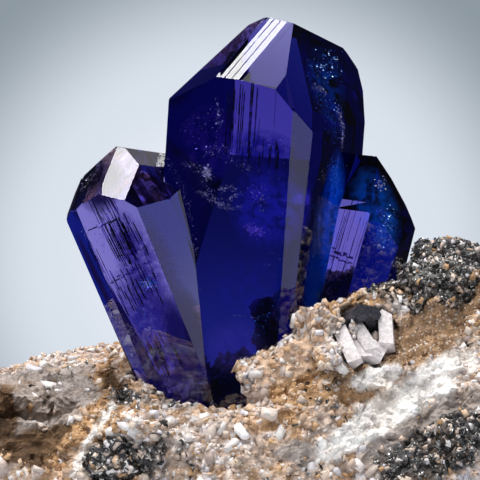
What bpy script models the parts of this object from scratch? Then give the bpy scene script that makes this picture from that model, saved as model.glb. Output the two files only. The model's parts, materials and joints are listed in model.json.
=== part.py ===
"""Rough tanzanite on its matrix: three crystals grown together, standing in a broken piece of rock.

Every crystal, grain and block of rock is cut from a box by flat planes, the way a crystal is bounded
by its faces. A crystal face is given by its azimuth (0 faces the front, 90 the right, 180 the back),
its slope (0 stands along the crystal's axis, 90 caps its end) and its distance from the crystal's
centre. Lengths in the tables are millimetres, angles are degrees.
"""

import math

import bmesh
import bpy
import numpy as np
from mathutils import Euler, Matrix, Vector
from mathutils.bvhtree import BVHTree

MM = 0.001

# Driving dimensions
GAP = 0.3
BLANK = 60.0
STEP_INSET = 0.04
RUBBLE_COUNT = 150
RUBBLE_SIZE = (1.5, 6.0)
RUBBLE_CLEARANCE = 2.4
RUBBLE_TOP = 27.5
RUBBLE_TOP_LEFT = 17.5
BARE_FEET = (-10.0, 5.5, 9.5)

# Each crystal: lean to the right in degrees, centre (x, y, z), and its faces
MAIN_LEAN = 3.7
MAIN_CENTRE = (2.4, 0.0, 33.5)
MAIN_FACES = {
    "front": (-8, 0, 7.1),
    "strip": (25, 0, 7.75),
    "right": (60, -1.6, 6.8),
    "side_right": (94, 1, 11.1),
    "side_right_upper": (96, 0, 10.85),
    "side_left": (-94, 0, 10.75),
    "side_left_lower": (-93, -18, 8.75),
    "back": (172, 0, 11.2),
    "back_lower": (172, -14, 8.45),
    "back_right": (133, 0, 14.0),
    "back_left": (-140, 0, 11.0),
    "dome_left": (-59.5, 53, 20.3),
    "dome_striated": (-3, 53.7, 19.2),
    "dome_front": (6.3, 50.6, 18.5),
    "dome_right": (57.5, 30.1, 13.2),
    "bevel_right": (36, 33.2, 14.87),
    "shoulder_left": (-93, 42.8, 19.0),
    "shoulder_left_upper": (-104, 61.7, 23.3),
    "crest": (138, 73.4, 24.7),
    "shoulder_right": (88, 37.9, 19.65),
    "shoulder_right_lower": (95, 13.6, 14.65),
    "dome_back": (172, 50, 24.0),
    "dome_back_left": (-138, 46, 21.5),
    "dome_back_right": (128, 44, 24.3),
    "foot": (0, -90, 21.0),
}

# The left crystal grew in two steps that share the sides of one prism
LEFT_LEAN = -25.5
LEFT_CENTRE = (-9.8, -4.0, 28.4)
LEFT_PRISM = {
    "front": (-20, -3.2, 2.2),
    "grey": (20, -5.8, 4.0),
    "front_right": (34, -5.2, 5.25),
    "side_right": (88, 0, 8.6),
    "edge_left": (-60, 0.5, 3.6),
    "side_left": (-90, 2.5, 5.05),
    "back_left": (-132, 0, 6.6),
    "back": (160, 3.2, 6.8),
    "back_right": (128, -6, 7.0),
    "foot": (0, -90, 15.0),
}
LEFT_FACES = {
    **LEFT_PRISM,
    "dome_white": (17, 37.7, 10.35),
    "dome_grey": (36.4, 37.2, 11.45),
    "dome_right": (27, 27.4, 9.2),
    "dome_left": (-31, 56.6, 12.3),
    "upper_left": (-105, 73.4, 15.0),
    "crest": (110, 53.7, 15.85),
    "crest_right": (91, 56.6, 16.0),
    "dome_back": (172, 46, 14.5),
    "under_left": (-55, 56, 12.2),
    "under_side": (-86, 46.8, 11.5),
    "under_top": (-80, 52.4, 12.3),
}
LEFT_STEP_FACES = {
    **LEFT_PRISM,
    "step_white": (17, 37.7, 9.23),
    "step_left": (-55, 56, 12.33),
    "step_side": (-86, 46.8, 11.65),
    "step_upper": (-100, 78.3, 15.8),
    "edge_top": (-80, 52.4, 12.45),
    "inner": (88, 0, -1.5),
    "dome_back": (172, 46, 14.2),
}

RIGHT_LEAN = 16.0
RIGHT_CENTRE = (13.2, 0.0, 33.5)
RIGHT_FACES = {
    "front": (-15, 9, 1.2),
    "grey": (44, 7, 0.85),
    "right": (66, 3, 2.6),
    "side_right": (90, 1.5, 6.1),
    "side_left": (-90, 0, 6.5),
    "back": (165, -9, 11.0),
    "back_right": (122, 0, 8.4),
    "dome_front": (-22, 22, 2.4),
    "dome_right": (54.3, 21.1, 1.95),
    "shoulder_right": (86, 42, 6.33),
    "shoulder_right_upper": (90, 49.6, 7.2),
    "shoulder_right_lower": (92, 37.4, 6.8),
    "crest": (177, 52, 9.4),
    "foot": (0, -90, 14.0),
}


# Blocks of the rock: centre, size, turn, seed of its broken corners
BLOCKS = {
    "heart": ((0, 1, 6.6), (40, 26, 22), (0, 0, 0), 1),
    "base_left": ((-19, -1, 5), (38, 40, 17), (0, 3, -6), 2),
    "base_right": ((17, -1, 7), (44, 44, 20), (0, -5, 4), 3),
    "left_back": ((-23, 9, 12), (28, 20, 16), (4, -3, 10), 4),
    "left_slope": ((-27, -8, 7), (20, 22, 15), (-16, 12, 5), 5),
    "white_ridge": ((-15.5, -10.5, 9.5), (8, 18, 14), (-22, 0, -12), 6),
    "front_left": ((-6, -12, 6.8), (24, 20, 16), (-16, -4, 0), 7),
    "front_middle": ((4, -11, 12), (15, 16, 15), (-16, -16, 8), 8),
    "front_rise": ((9.5, -9, 17.5), (14, 13, 16), (-14, -26, -5), 9),
    "ridge": ((17, -6, 21.5), (16, 13, 16), (-14, -22, 6), 10),
    "ridge_right": ((27, -2, 24.9), (22, 17, 20), (-8, -6, -4), 11),
    "far_right": ((31, 0, 15), (14, 30, 26), (0, 8, 6), 12),
    "sand_slab": ((20, -11, 17), (30, 9, 18), (-38, -28, 0), 13),
    "white_band": ((20, -14.5, 11), (30, 10, 12), (-34, -26, 0), 14),
    "lower_right": ((20, -16, 6), (30, 14, 14), (-22, -8, 0), 15),
    "back_middle": ((2, 11, 9.2), (32, 20, 22), (9, -6, 0), 16),
    "back_right": ((19, 9, 16.5), (30, 22, 26), (10, -8, 0), 17),
}

# The rounded outline that all the blocks are broken back to: centre, half lengths, half height
# above and below the centre, number of planes
OUTLINE_CENTRE = (2, -1.5, 13)
OUTLINE_HALF = (39, 23.5)
OUTLINE_ABOVE = 26
OUTLINE_BELOW = 18
OUTLINE_PLANES = 60

# Blades of a white mineral in the front of the ridge: x, z, width, depth, length, turn
BLADES = {
    "core": (13.1, 23.7, 3.8, 1.8, 2.0, (-35, 0, 0)),
    "blade_left": (11.7, 24.0, 1.5, 2.3, 4.8, (-34, -26, 0)),
    "blade_middle": (13.5, 24.7, 1.4, 2.3, 4.6, (-32, -30, 8)),
    "blade_right": (15.7, 25.9, 1.5, 2.3, 4.4, (-28, -6, -6)),
    "blade_low": (14.9, 23.9, 1.2, 2.1, 3.6, (-40, 30, 0)),
}

# Plates of graphite: x, z, width, height, thickness, turn
GRAPHITE_PLATE = {"plate": (13.2, 27.0, 4.2, 3.4, 1.4, (-40, 12, 14))}
GRAPHITE_CLUSTER = {
    "core": (21.0, 31.0, 5.6, 3.4, 2.6, (-36, 6, 0)),
    "flake_a": (18.6, 30.8, 3.0, 2.2, 0.9, (-58, 30, 16)),
    "flake_b": (20.2, 32.4, 2.8, 2.4, 0.9, (-26, -34, 40)),
    "flake_c": (22.4, 32.2, 3.2, 2.2, 0.9, (-64, 10, -24)),
    "flake_d": (23.8, 31.4, 2.8, 2.4, 1.0, (-40, 44, 10)),
    "flake_e": (22.0, 29.4, 3.0, 2.2, 0.9, (-20, 20, -38)),
    "flake_f": (19.4, 29.2, 2.8, 2.2, 0.9, (-48, -28, 60)),
    "flake_g": (23.6, 29.4, 2.6, 2.2, 0.9, (-70, 24, 34)),
}
GRAPHITE_LEFT = {
    "core": (-14.0, 13.0, 4.0, 2.6, 2.4, (-20, 10, 20)),
    "flake_a": (-12.6, 12.0, 3.6, 2.8, 1.1, (-50, 24, 30)),
    "flake_b": (-15.4, 11.6, 3.4, 2.6, 1.0, (-14, -30, -20)),
    "flake_c": (-13.2, 14.2, 3.2, 2.6, 1.0, (-66, 12, 48)),
}


def start_empty_scene():
    """Removes what the startup scene holds."""
    for obj in list(bpy.data.objects):
        bpy.data.objects.remove(obj)


def link_mesh(name, solid):
    """Makes an object from a bmesh whose points are in millimetres."""
    bmesh.ops.scale(solid, vec=(MM, MM, MM), verts=solid.verts)
    mesh = bpy.data.meshes.new(name)
    solid.to_mesh(mesh)
    solid.free()
    obj = bpy.data.objects.new(name, mesh)
    bpy.context.scene.collection.objects.link(obj)
    return obj


def slice_off(solid, point, normal):
    """Cuts away what lies on the outer side of a plane and closes the cut."""
    everything = solid.verts[:] + solid.edges[:] + solid.faces[:]
    cut = bmesh.ops.bisect_plane(
        solid, geom=everything, plane_co=point, plane_no=normal, clear_outer=True
    )
    rim = [e for e in cut["geom_cut"] if isinstance(e, bmesh.types.BMEdge)]
    if rim:
        bmesh.ops.contextual_create(solid, geom=rim)


def convex(name, centre, planes, grow=0.0):
    """A solid bounded by planes (normal, distance from centre), each moved out by grow."""
    middle = Vector(centre)
    solid = bmesh.new()
    bmesh.ops.create_cube(solid, size=2 * BLANK)
    bmesh.ops.translate(solid, verts=solid.verts, vec=middle)
    for normal, distance in planes:
        slice_off(solid, middle + normal * (distance + grow), normal)
    bmesh.ops.remove_doubles(solid, verts=solid.verts, dist=0.001)
    bmesh.ops.dissolve_limit(
        solid, angle_limit=math.radians(0.1), verts=solid.verts, edges=solid.edges
    )
    bmesh.ops.recalc_face_normals(solid, faces=solid.faces)
    return link_mesh(name, solid)


def face_normal(azimuth, slope):
    """The outward normal of a face in the crystal's own axes."""
    a, s = math.radians(azimuth), math.radians(slope)
    return Vector((math.sin(a) * math.cos(s), -math.cos(a) * math.cos(s), math.sin(s)))


def crystal(name, faces, centre, lean, grow=0.0):
    """One crystal from its table of faces."""
    turn = Matrix.Rotation(math.radians(lean), 3, "Y")
    planes = [(turn @ face_normal(a, s), d) for a, s, d in faces.values()]
    return convex(name, centre, planes, grow)


def broken_block(name, centre, size, turn, seed, grow=0.0, breaks=16):
    """A block with its corners and edges broken off along random planes."""
    rng = np.random.default_rng(seed)
    turned = turn if isinstance(turn, Matrix) else Euler([math.radians(t) for t in turn]).to_matrix()
    half = np.array(size) / 2
    planes = []
    for axis in range(3):
        for side in (-1, 1):
            normal = Vector((0, 0, 0))
            normal[axis] = side
            planes.append((turned @ normal, half[axis]))
    for _ in range(breaks):
        direction = rng.normal(size=3)
        direction /= np.linalg.norm(direction)
        reach = np.abs(direction) @ half * rng.uniform(0.66, 0.88)
        planes.append((turned @ Vector(direction), reach))
    return convex(name, centre, planes, grow)


def boolean(target, other, operation):
    """Joins or cuts target with other, applies it and removes other."""
    modifier = target.modifiers.new(operation.lower(), "BOOLEAN")
    modifier.operation = operation
    modifier.object = other
    graph = bpy.context.evaluated_depsgraph_get()
    made = bpy.data.meshes.new_from_object(target.evaluated_get(graph))
    target.modifiers.clear()
    target.data = made
    bpy.data.objects.remove(other)
    return target


def crystals(name, grow=0.0):
    """The three crystals as one solid, each face moved out by grow."""
    whole = crystal(name, MAIN_FACES, MAIN_CENTRE, MAIN_LEAN, grow)
    left = crystal("left", LEFT_FACES, LEFT_CENTRE, LEFT_LEAN, grow)
    step = crystal("step", LEFT_STEP_FACES, LEFT_CENTRE, LEFT_LEAN, grow - STEP_INSET)
    right = crystal("right", RIGHT_FACES, RIGHT_CENTRE, RIGHT_LEAN, grow)
    boolean(left, step, "UNION")
    boolean(whole, left, "UNION")
    return boolean(whole, right, "UNION")


def surface_tree(obj):
    """A search tree of an object's faces, in millimetres."""
    points = [v.co / MM for v in obj.data.vertices]
    return BVHTree.FromPolygons(points, [tuple(p.vertices) for p in obj.data.polygons])


def front_point(tree, x, z):
    """Where a line from the front at x and z meets the rock, and the rock's normal there."""
    point, normal, _, _ = tree.ray_cast(Vector((x, -BLANK, z)), Vector((0, 1, 0)))
    return point, normal


def rubble(rock, gems, count, seed):
    """Joins small broken blocks to the rock all round, half sunk in it and clear of the crystals.

    There are none in front of the crystals' feet, and none high on the left, where the rock is low.
    """
    rng = np.random.default_rng(seed)
    tree = surface_tree(rock)
    gem_tree = surface_tree(gems)
    aim = Vector((0, 0, 12))
    for index in range(count):
        around, up = rng.uniform(0, 2 * math.pi), rng.uniform(-0.1, 1.2)
        way = Vector((math.sin(around) * math.cos(up), -math.cos(around) * math.cos(up), math.sin(up)))
        target = aim + Vector((rng.uniform(-24, 24), rng.uniform(-8, 8), rng.uniform(-6, 8)))
        point, normal, _, _ = tree.ray_cast(target + way * BLANK * 1.5, -way)
        low, high = RUBBLE_SIZE
        size = low + (high - low) * np.sort(rng.random(3) ** 1.5)[::-1]
        if point is None or point.z > (RUBBLE_TOP_LEFT if point.x < -12 else RUBBLE_TOP):
            continue
        if BARE_FEET[0] < point.x < BARE_FEET[1] and point.y < 0 and point.z > BARE_FEET[2]:
            continue
        if gem_tree.find_nearest(point, RUBBLE_CLEARANCE)[0] is not None:
            continue
        lie = normal.to_track_quat("Z", "X").to_matrix()
        tilt = Euler(rng.uniform((-0.5, -0.5, -3), (0.5, 0.5, 3))).to_matrix()
        centre = point - normal * 0.15 * size[2]
        piece = broken_block("rubble", centre, size, lie @ tilt, seed * 1000 + index, breaks=7)
        boolean(rock, piece, "UNION")
    return rock


def rounded_outline(name, seed):
    """A many-sided egg-like solid, steeper below than above."""
    rng = np.random.default_rng(seed)
    planes = []
    for index in range(OUTLINE_PLANES):
        height = 1 - 2 * (index + 0.5) / OUTLINE_PLANES
        around = index * math.pi * (3 - math.sqrt(5)) + rng.uniform(-0.2, 0.2)
        ring = math.sqrt(1 - height**2)
        way = Vector((ring * math.cos(around), ring * math.sin(around), height))
        upright = OUTLINE_ABOVE if height > 0 else OUTLINE_BELOW
        half = Vector((way.x * OUTLINE_HALF[0], way.y * OUTLINE_HALF[1], way.z * upright))
        planes.append((way, half.length * rng.uniform(0.94, 1.0)))
    return convex(name, OUTLINE_CENTRE, planes)


def keep_largest(obj):
    """Drops loose crumbs that a cut left, so that one body remains."""
    solid = bmesh.new()
    solid.from_mesh(obj.data)
    left_over = set(solid.verts)
    islands = []
    while left_over:
        island, queue = set(), [left_over.pop()]
        while queue:
            vert = queue.pop()
            island.add(vert)
            for edge in vert.link_edges:
                other = edge.other_vert(vert)
                if other in left_over:
                    left_over.discard(other)
                    queue.append(other)
        islands.append(island)
    islands.sort(key=len)
    for island in islands[:-1]:
        bmesh.ops.delete(solid, geom=list(island), context="VERTS")
    solid.to_mesh(obj.data)
    solid.free()
    return obj


def flat_base(obj):
    """Cuts the rock off level at z = 0."""
    solid = bmesh.new()
    solid.from_mesh(obj.data)
    slice_off(solid, Vector((0, 0, 0)), Vector((0, 0, -1)))
    solid.to_mesh(obj.data)
    solid.free()
    return obj


def matrix_rock(gems):
    """The rock: broken blocks and rubble joined into one solid, with a level base."""
    blocks = list(BLOCKS.items())
    name, (centre, size, turn, seed) = blocks[0]
    rock = broken_block("matrix_rock", centre, size, turn, seed)
    for name, (centre, size, turn, seed) in blocks[1:]:
        boolean(rock, broken_block(name, centre, size, turn, seed), "UNION")
    boolean(rock, rounded_outline("outline", 21), "INTERSECT")
    rubble(rock, gems, RUBBLE_COUNT, 5)
    return flat_base(rock)


def seated(name, table, tree, sink, breaks, grow=0.0):
    """Grains placed on the rock's front and joined into one solid."""
    whole = None
    for index, (part, (x, z, width, height, thick, turn)) in enumerate(table.items()):
        point, _ = front_point(tree, x, z)
        centre = point + Vector((0, sink, 0))
        seed = sum(ord(letter) for letter in part) + index
        size = (width, height, thick)
        grain = broken_block(part, centre, size, turn, seed, grow, breaks)
        whole = boolean(whole, grain, "UNION") if whole else grain
    whole.name = name
    return whole


def plain_material(name, colour, roughness):
    """A plain surface colour."""
    material = bpy.data.materials.new(name)
    material.use_nodes = True
    shader = material.node_tree.nodes["Principled BSDF"]
    shader.inputs["Base Color"].default_value = (*colour, 1)
    shader.inputs["Roughness"].default_value = roughness
    return material


def finish(obj, colour, roughness):
    """Gives a node its material and flat faces."""
    obj.data.materials.clear()
    obj.data.materials.append(plain_material(obj.name, colour, roughness))
    for polygon in obj.data.polygons:
        polygon.material_index = 0
        polygon.use_smooth = False


def main():
    start_empty_scene()
    gems = crystals("tanzanite_crystals")
    rock = matrix_rock(gems)
    tree = surface_tree(rock)
    grains = {
        "white_blades": (BLADES, 0.1, 4, (0.9, 0.89, 0.87)),
        "graphite_plate": (GRAPHITE_PLATE, 0.2, 5, (0.06, 0.06, 0.065)),
        "graphite_flakes_right": (GRAPHITE_CLUSTER, 0.3, 4, (0.12, 0.12, 0.12)),
        "graphite_flakes_left": (GRAPHITE_LEFT, 0.2, 4, (0.1, 0.1, 0.1)),
    }
    earlier = []
    for name, (table, sink, breaks, colour) in grains.items():
        boolean(rock, seated("cutter", table, tree, sink, breaks, GAP), "DIFFERENCE")
        grain = seated(name, table, tree, sink, breaks)
        boolean(grain, crystals("cutter", GAP), "DIFFERENCE")
        for settings in earlier:
            boolean(grain, seated("cutter", *settings, GAP), "DIFFERENCE")
        earlier.append((table, tree, sink, breaks))
        finish(keep_largest(grain), colour, 0.4)
    boolean(rock, crystals("cutter", GAP), "DIFFERENCE")
    keep_largest(rock)
    finish(rock, (0.62, 0.55, 0.47), 0.85)
    finish(gems, (0.06, 0.04, 0.35), 0.1)


main()
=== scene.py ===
"""The looks of a rough tanzanite specimen: deep blue-violet crystals on a broken piece of pale rock."""

from __future__ import annotations

import itertools
import json
import logging
import math
from dataclasses import dataclass, field
from enum import Enum

import bmesh
import bpy
import numpy as np
from mathutils import Vector
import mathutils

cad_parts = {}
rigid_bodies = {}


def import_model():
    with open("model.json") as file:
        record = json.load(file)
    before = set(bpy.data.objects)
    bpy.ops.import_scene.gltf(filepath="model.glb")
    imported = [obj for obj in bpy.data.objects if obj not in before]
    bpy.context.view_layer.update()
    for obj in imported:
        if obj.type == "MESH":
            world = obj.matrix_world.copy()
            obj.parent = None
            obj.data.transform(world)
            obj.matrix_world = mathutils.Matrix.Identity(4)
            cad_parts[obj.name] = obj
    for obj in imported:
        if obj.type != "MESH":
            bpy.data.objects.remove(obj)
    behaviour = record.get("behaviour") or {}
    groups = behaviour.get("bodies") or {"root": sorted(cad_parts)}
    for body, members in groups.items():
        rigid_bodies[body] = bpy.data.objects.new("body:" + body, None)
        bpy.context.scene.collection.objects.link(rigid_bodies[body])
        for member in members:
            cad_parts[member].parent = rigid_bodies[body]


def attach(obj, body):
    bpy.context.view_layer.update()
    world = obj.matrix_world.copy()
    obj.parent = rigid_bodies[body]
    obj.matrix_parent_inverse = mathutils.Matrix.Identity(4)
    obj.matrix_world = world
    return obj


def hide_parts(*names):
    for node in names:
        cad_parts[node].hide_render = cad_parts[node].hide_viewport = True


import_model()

LOG = logging.getLogger("tanzanite")
MM = 0.001

Colour = tuple[float, float, float]

# The camera looks at this point from this far away, this many degrees above level
TARGET = (0.0, 0.0, 34.6 * MM)
DISTANCE = 0.4
ELEVATION = 5.0
LENS = 272.7

# Odd multipliers and shifts that scatter neighbouring whole numbers far apart
AXIS_FACTORS = np.array((73856093, 19349663, 83492791))
SEED_FACTOR = 2654435
ROUNDS = ((13, 1274126177), (15, 668265263))

# The corners of a box that reaches from -1 to 1 along each axis, and its faces
BOX_CORNERS = np.array(list(itertools.product((-1, 1), repeat=3)), float)
BOX_FACES = np.array([(0, 1, 3, 2), (4, 6, 7, 5), (0, 4, 5, 1), (2, 3, 7, 6), (0, 2, 6, 4), (1, 5, 7, 3)])


# Numbers over space


def hashed(cells: np.ndarray, seed: int) -> np.ndarray:
    """Scrambles each cell's whole-number place into a number from -1 to 1.

    Args:
        cells: whole-number places, one row each.
        seed: picks the scrambling.

    Returns:
        One number for each row.
    """
    mixed = np.bitwise_xor.reduce(cells * AXIS_FACTORS, axis=1) ^ (seed * SEED_FACTOR)
    for shift, factor in ROUNDS:
        mixed = ((mixed ^ (mixed >> shift)) * factor) & 0x7FFFFFFF
    return ((mixed >> 7) & 0xFFFF) / 32767.5 - 1


def soft_noise(points: np.ndarray, size: float, seed: int) -> np.ndarray:
    """Smooth random values from -1 to 1: random numbers at the corners of a grid, eased between them.

    Args:
        points: places, one row each.
        size: the grid's spacing.
        seed: picks the random numbers.

    Returns:
        One value for each point.
    """
    place = points / size
    base = np.floor(place).astype(np.int64)
    part = place - base
    ease = part * part * (3 - 2 * part)
    total = np.zeros(len(points))
    for corner in itertools.product((0, 1), repeat=3):
        weight = np.prod(np.where(corner, ease, 1 - ease), axis=1)
        total += weight * hashed(base + np.array(corner), seed)
    return total


def layered_noise(points: np.ndarray, size: float, seed: int, layers: int = 3) -> np.ndarray:
    """Adds up soft noise, each layer half as wide and half as strong as the one before it.

    Args:
        points: places, one row each.
        size: the widest layer's spacing.
        seed: picks the random numbers.
        layers: how many layers there are.

    Returns:
        One value for each point.
    """
    total = np.zeros(len(points))
    for layer in range(layers):
        total += soft_noise(points, size / 2**layer, seed + layer) / 2**layer
    return total


def broken_cells(points: np.ndarray, size: float, seed: int) -> tuple[np.ndarray, np.ndarray]:
    """Splits space into random cells, each round its own centre.

    Args:
        points: places, one row each.
        size: a cell's rough width.
        seed: picks the centres.

    Returns:
        For each point, its cell's own number from -1 to 1, and the height there of a flat plate
        that leans its own way in each cell.
    """
    place = points / size
    base = np.floor(place).astype(np.int64)
    nearest = np.full(len(points), np.inf)
    own = np.zeros(len(points))
    plate = np.zeros(len(points))
    for offset in itertools.product((-1, 0, 1), repeat=3):
        cell = base + np.array(offset)
        centre = cell + 0.5 + 0.45 * np.stack([hashed(cell, seed + axis) for axis in range(3)], axis=1)
        away = np.linalg.norm(place - centre, axis=1)
        closer = away < nearest
        lean = np.stack([hashed(cell, seed + 11 + axis) for axis in range(3)], axis=1)
        own = np.where(closer, hashed(cell, seed + 7), own)
        plate = np.where(closer, np.sum(lean * (place - centre), axis=1), plate)
        nearest = np.where(closer, away, nearest)
    return own, plate


def picture_place(points: np.ndarray) -> tuple[np.ndarray, np.ndarray]:
    """Where the camera sees points, on the plane through its target.

    Args:
        points: places in metres, one row each.

    Returns:
        How far right and how far up from the picture's centre each one is, in metres.
    """
    lean = math.radians(ELEVATION)
    apart = points - np.array(TARGET)
    depth = DISTANCE + apart @ np.array((0, math.cos(lean), -math.sin(lean)))
    across = apart[:, 0] * DISTANCE / depth
    up = apart @ np.array((0, math.sin(lean), math.cos(lean))) * DISTANCE / depth
    return across, up


# Meshes


def new_piece(name: str, mesh: bpy.types.Mesh) -> bpy.types.Object:
    """Links a mesh into the scene as a piece.

    Args:
        name: the piece's name.
        mesh: its mesh.

    Returns:
        The new object, at the origin.
    """
    mesh.name = name
    piece = bpy.data.objects.new(name, mesh)
    bpy.context.scene.collection.objects.link(piece)
    return piece


def array_mesh(name: str, points: np.ndarray, faces: list[np.ndarray]) -> bpy.types.Mesh:
    """Makes a mesh from whole arrays.

    Args:
        name: the mesh's name.
        points: one row for each point.
        faces: arrays of point numbers, one row for each face, all rows of an array the same length.

    Returns:
        The mesh.
    """
    mesh = bpy.data.meshes.new(name)
    corners = np.concatenate([rows.ravel() for rows in faces]).astype(np.int32)
    sizes = np.concatenate([np.full(len(rows), rows.shape[1]) for rows in faces]).astype(np.int32)
    starts = np.concatenate([[0], np.cumsum(sizes)[:-1]]).astype(np.int32)
    mesh.vertices.add(len(points))
    mesh.vertices.foreach_set("co", points.astype(np.float32).ravel())
    mesh.loops.add(len(corners))
    mesh.loops.foreach_set("vertex_index", corners)
    mesh.polygons.add(len(sizes))
    mesh.polygons.foreach_set("loop_start", starts)
    mesh.polygons.foreach_set("loop_total", sizes)
    mesh.update(calc_edges=True)
    return mesh


def point_colours(mesh: bpy.types.Mesh, name: str, colours: np.ndarray) -> None:
    """Stores a colour at each point of a mesh.

    Args:
        mesh: the mesh.
        name: the attribute's name.
        colours: one row of red, green and blue for each point.
    """
    layer = mesh.attributes.new(name, "FLOAT_COLOR", "POINT")
    full = np.ones((len(colours), 4), np.float32)
    full[:, :3] = colours
    layer.data.foreach_set("color", full.ravel())


def merged_copy(node: str, name: str) -> bpy.types.Object:
    """Copies a CAD node's mesh into a new piece with its loose triangles merged.

    Args:
        node: the CAD node's name.
        name: the new piece's name.

    Returns:
        The new object, at the origin.
    """
    solid = bmesh.new()
    solid.from_mesh(bpy.data.objects[node].data)
    bmesh.ops.remove_doubles(solid, verts=solid.verts, dist=0.002 * MM)
    bmesh.ops.dissolve_limit(solid, angle_limit=math.radians(0.3), verts=solid.verts, edges=solid.edges)
    mesh = bpy.data.meshes.new(name)
    solid.to_mesh(mesh)
    solid.free()
    return new_piece(name, mesh)


def bake_modifiers(piece: bpy.types.Object) -> None:
    """Applies a piece's modifiers to its mesh.

    Args:
        piece: the piece, which keeps its name and loses its modifiers.
    """
    graph = bpy.context.evaluated_depsgraph_get()
    mesh = bpy.data.meshes.new_from_object(piece.evaluated_get(graph), depsgraph=graph)
    piece.modifiers.clear()
    piece.data = mesh
    mesh.name = piece.name


def rows_of(items: bpy.types.bpy_prop_collection, name: str, width: int = 3) -> np.ndarray:
    """Reads one measure of each point or face of a mesh.

    Args:
        items: the mesh's points or faces.
        name: the measure's name.
        width: how many numbers it has.

    Returns:
        One row for each item.
    """
    values = np.empty(len(items) * width, np.float32)
    items.foreach_get(name, values)
    return values.reshape(-1, width).astype(float)


def numbers_of(items: bpy.types.bpy_prop_collection, name: str, width: int = 1) -> np.ndarray:
    """Reads whole numbers, such as the points at the corners of each triangle.

    Args:
        items: the mesh's corners, faces or triangles.
        name: the name of what is read.
        width: how many numbers each item has.

    Returns:
        All the numbers in one row.
    """
    values = np.empty(len(items) * width, np.int32)
    items.foreach_get(name, values)
    return values


def triangles_of(mesh: bpy.types.Mesh) -> np.ndarray:
    """Reads the points at the corners of a mesh's triangles.

    Args:
        mesh: the mesh.

    Returns:
        Three point numbers for each triangle, one row each.
    """
    mesh.calc_loop_triangles()
    return numbers_of(mesh.loop_triangles, "vertices", 3).reshape(-1, 3)


def triangle_sizes(corners: np.ndarray) -> tuple[np.ndarray, np.ndarray]:
    """Measures triangles: the cross product of two sides is twice the area long.

    Args:
        corners: for each triangle, three places.

    Returns:
        The cross products, one row each, and the areas.
    """
    across = np.cross(corners[:, 1] - corners[:, 0], corners[:, 2] - corners[:, 0])
    return across, np.linalg.norm(across, axis=1) / 2


# Materials


class Nodes:
    """A node tree with short calls for making and linking nodes."""

    def __init__(self, tree: bpy.types.NodeTree) -> None:
        """Starts from an empty tree.

        Args:
            tree: the node tree of a material or a group.
        """
        self.tree = tree
        self.tree.nodes.clear()

    def node(self, kind: str, inputs: dict | None = None, **settings: object) -> bpy.types.Node:
        """Adds a node.

        Args:
            kind: the node's type name without its ShaderNode prefix.
            inputs: socket name or index to a value or to another node's output.
            settings: attributes of the node.

        Returns:
            The node.
        """
        made = self.tree.nodes.new("ShaderNode" + kind)
        for key, value in settings.items():
            setattr(made, key, value)
        self.feed(made, inputs or {})
        return made

    def feed(self, node: bpy.types.Node, inputs: dict) -> None:
        """Sets or links a node's inputs.

        Args:
            node: the node.
            inputs: socket name or index to a value or to another node's output.
        """
        for key, value in inputs.items():
            if isinstance(value, bpy.types.NodeSocket):
                self.tree.links.new(value, node.inputs[key])
            else:
                node.inputs[key].default_value = value

    def noise(self, place: bpy.types.NodeSocket, scale: bpy.types.NodeSocket | float,
              detail: float = 3.0) -> bpy.types.NodeSocket:
        """Adds a noise value.

        Args:
            place: the coordinates.
            scale: how many of its features a metre holds.
            detail: how many finer layers it has.

        Returns:
            The value, from 0 to 1.
        """
        made = self.node("TexNoise", {"Vector": place, "Scale": scale, "Detail": detail, "Roughness": 0.6})
        return made.outputs[0]

    def math(self, operation: str, *values: object) -> bpy.types.NodeSocket:
        """Adds a sum on values or sockets and gives its result."""
        return self.node("Math", dict(enumerate(values)), operation=operation).outputs[0]

    def span(self, value: bpy.types.NodeSocket, low: float, high: float, to_low: bpy.types.NodeSocket | float,
             to_high: bpy.types.NodeSocket | float) -> bpy.types.NodeSocket:
        """Maps a value from one range to another, and stops it at the ends.

        Args:
            value: the value.
            low: where the first range starts.
            high: where it ends.
            to_low: where the second range starts.
            to_high: where it ends.

        Returns:
            The mapped value.
        """
        return self.node("MapRange", {0: value, 1: low, 2: high, 3: to_low, 4: to_high}).outputs[0]

    def ramp(self, value: bpy.types.NodeSocket, stops: tuple[tuple[float, Colour], ...],
             blend: str = "LINEAR") -> bpy.types.NodeSocket:
        """Adds a ramp of colours.

        Args:
            value: the value that picks the colour, from 0 to 1.
            stops: the place and colour of each stop.
            blend: how the ramp goes from stop to stop.

        Returns:
            The colour.
        """
        made = self.node("ValToRGB", {0: value})
        made.color_ramp.interpolation = blend
        while len(made.color_ramp.elements) < len(stops):
            made.color_ramp.elements.new(0.5)
        for element, (place, colour) in zip(made.color_ramp.elements, stops):
            element.position = place
            element.color = (*colour, 1)
        return made.outputs[0]

    def dot(self, value: bpy.types.NodeSocket, way: tuple[float, ...]) -> bpy.types.NodeSocket:
        """Adds how far a place or direction reaches along another."""
        return self.node("VectorMath", {0: value, 1: way}, operation="DOT_PRODUCT").outputs["Value"]

    def blend(self, share: bpy.types.NodeSocket, first: object, second: object) -> bpy.types.NodeSocket:
        """Adds a colour between two colours, each a value or a socket."""
        ends = (end if isinstance(end, bpy.types.NodeSocket) else (*end, 1) for end in (first, second))
        return self.node("Mix", dict(zip((0, 6, 7), (share, *ends))), data_type="RGBA").outputs[2]

    def attribute(self, name: str, kind: str) -> bpy.types.NodeSocket:
        """Adds what a piece's mesh stores under a name, as a Color, a Vector or a Fac."""
        return self.node("Attribute", attribute_name=name).outputs[kind]


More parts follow.
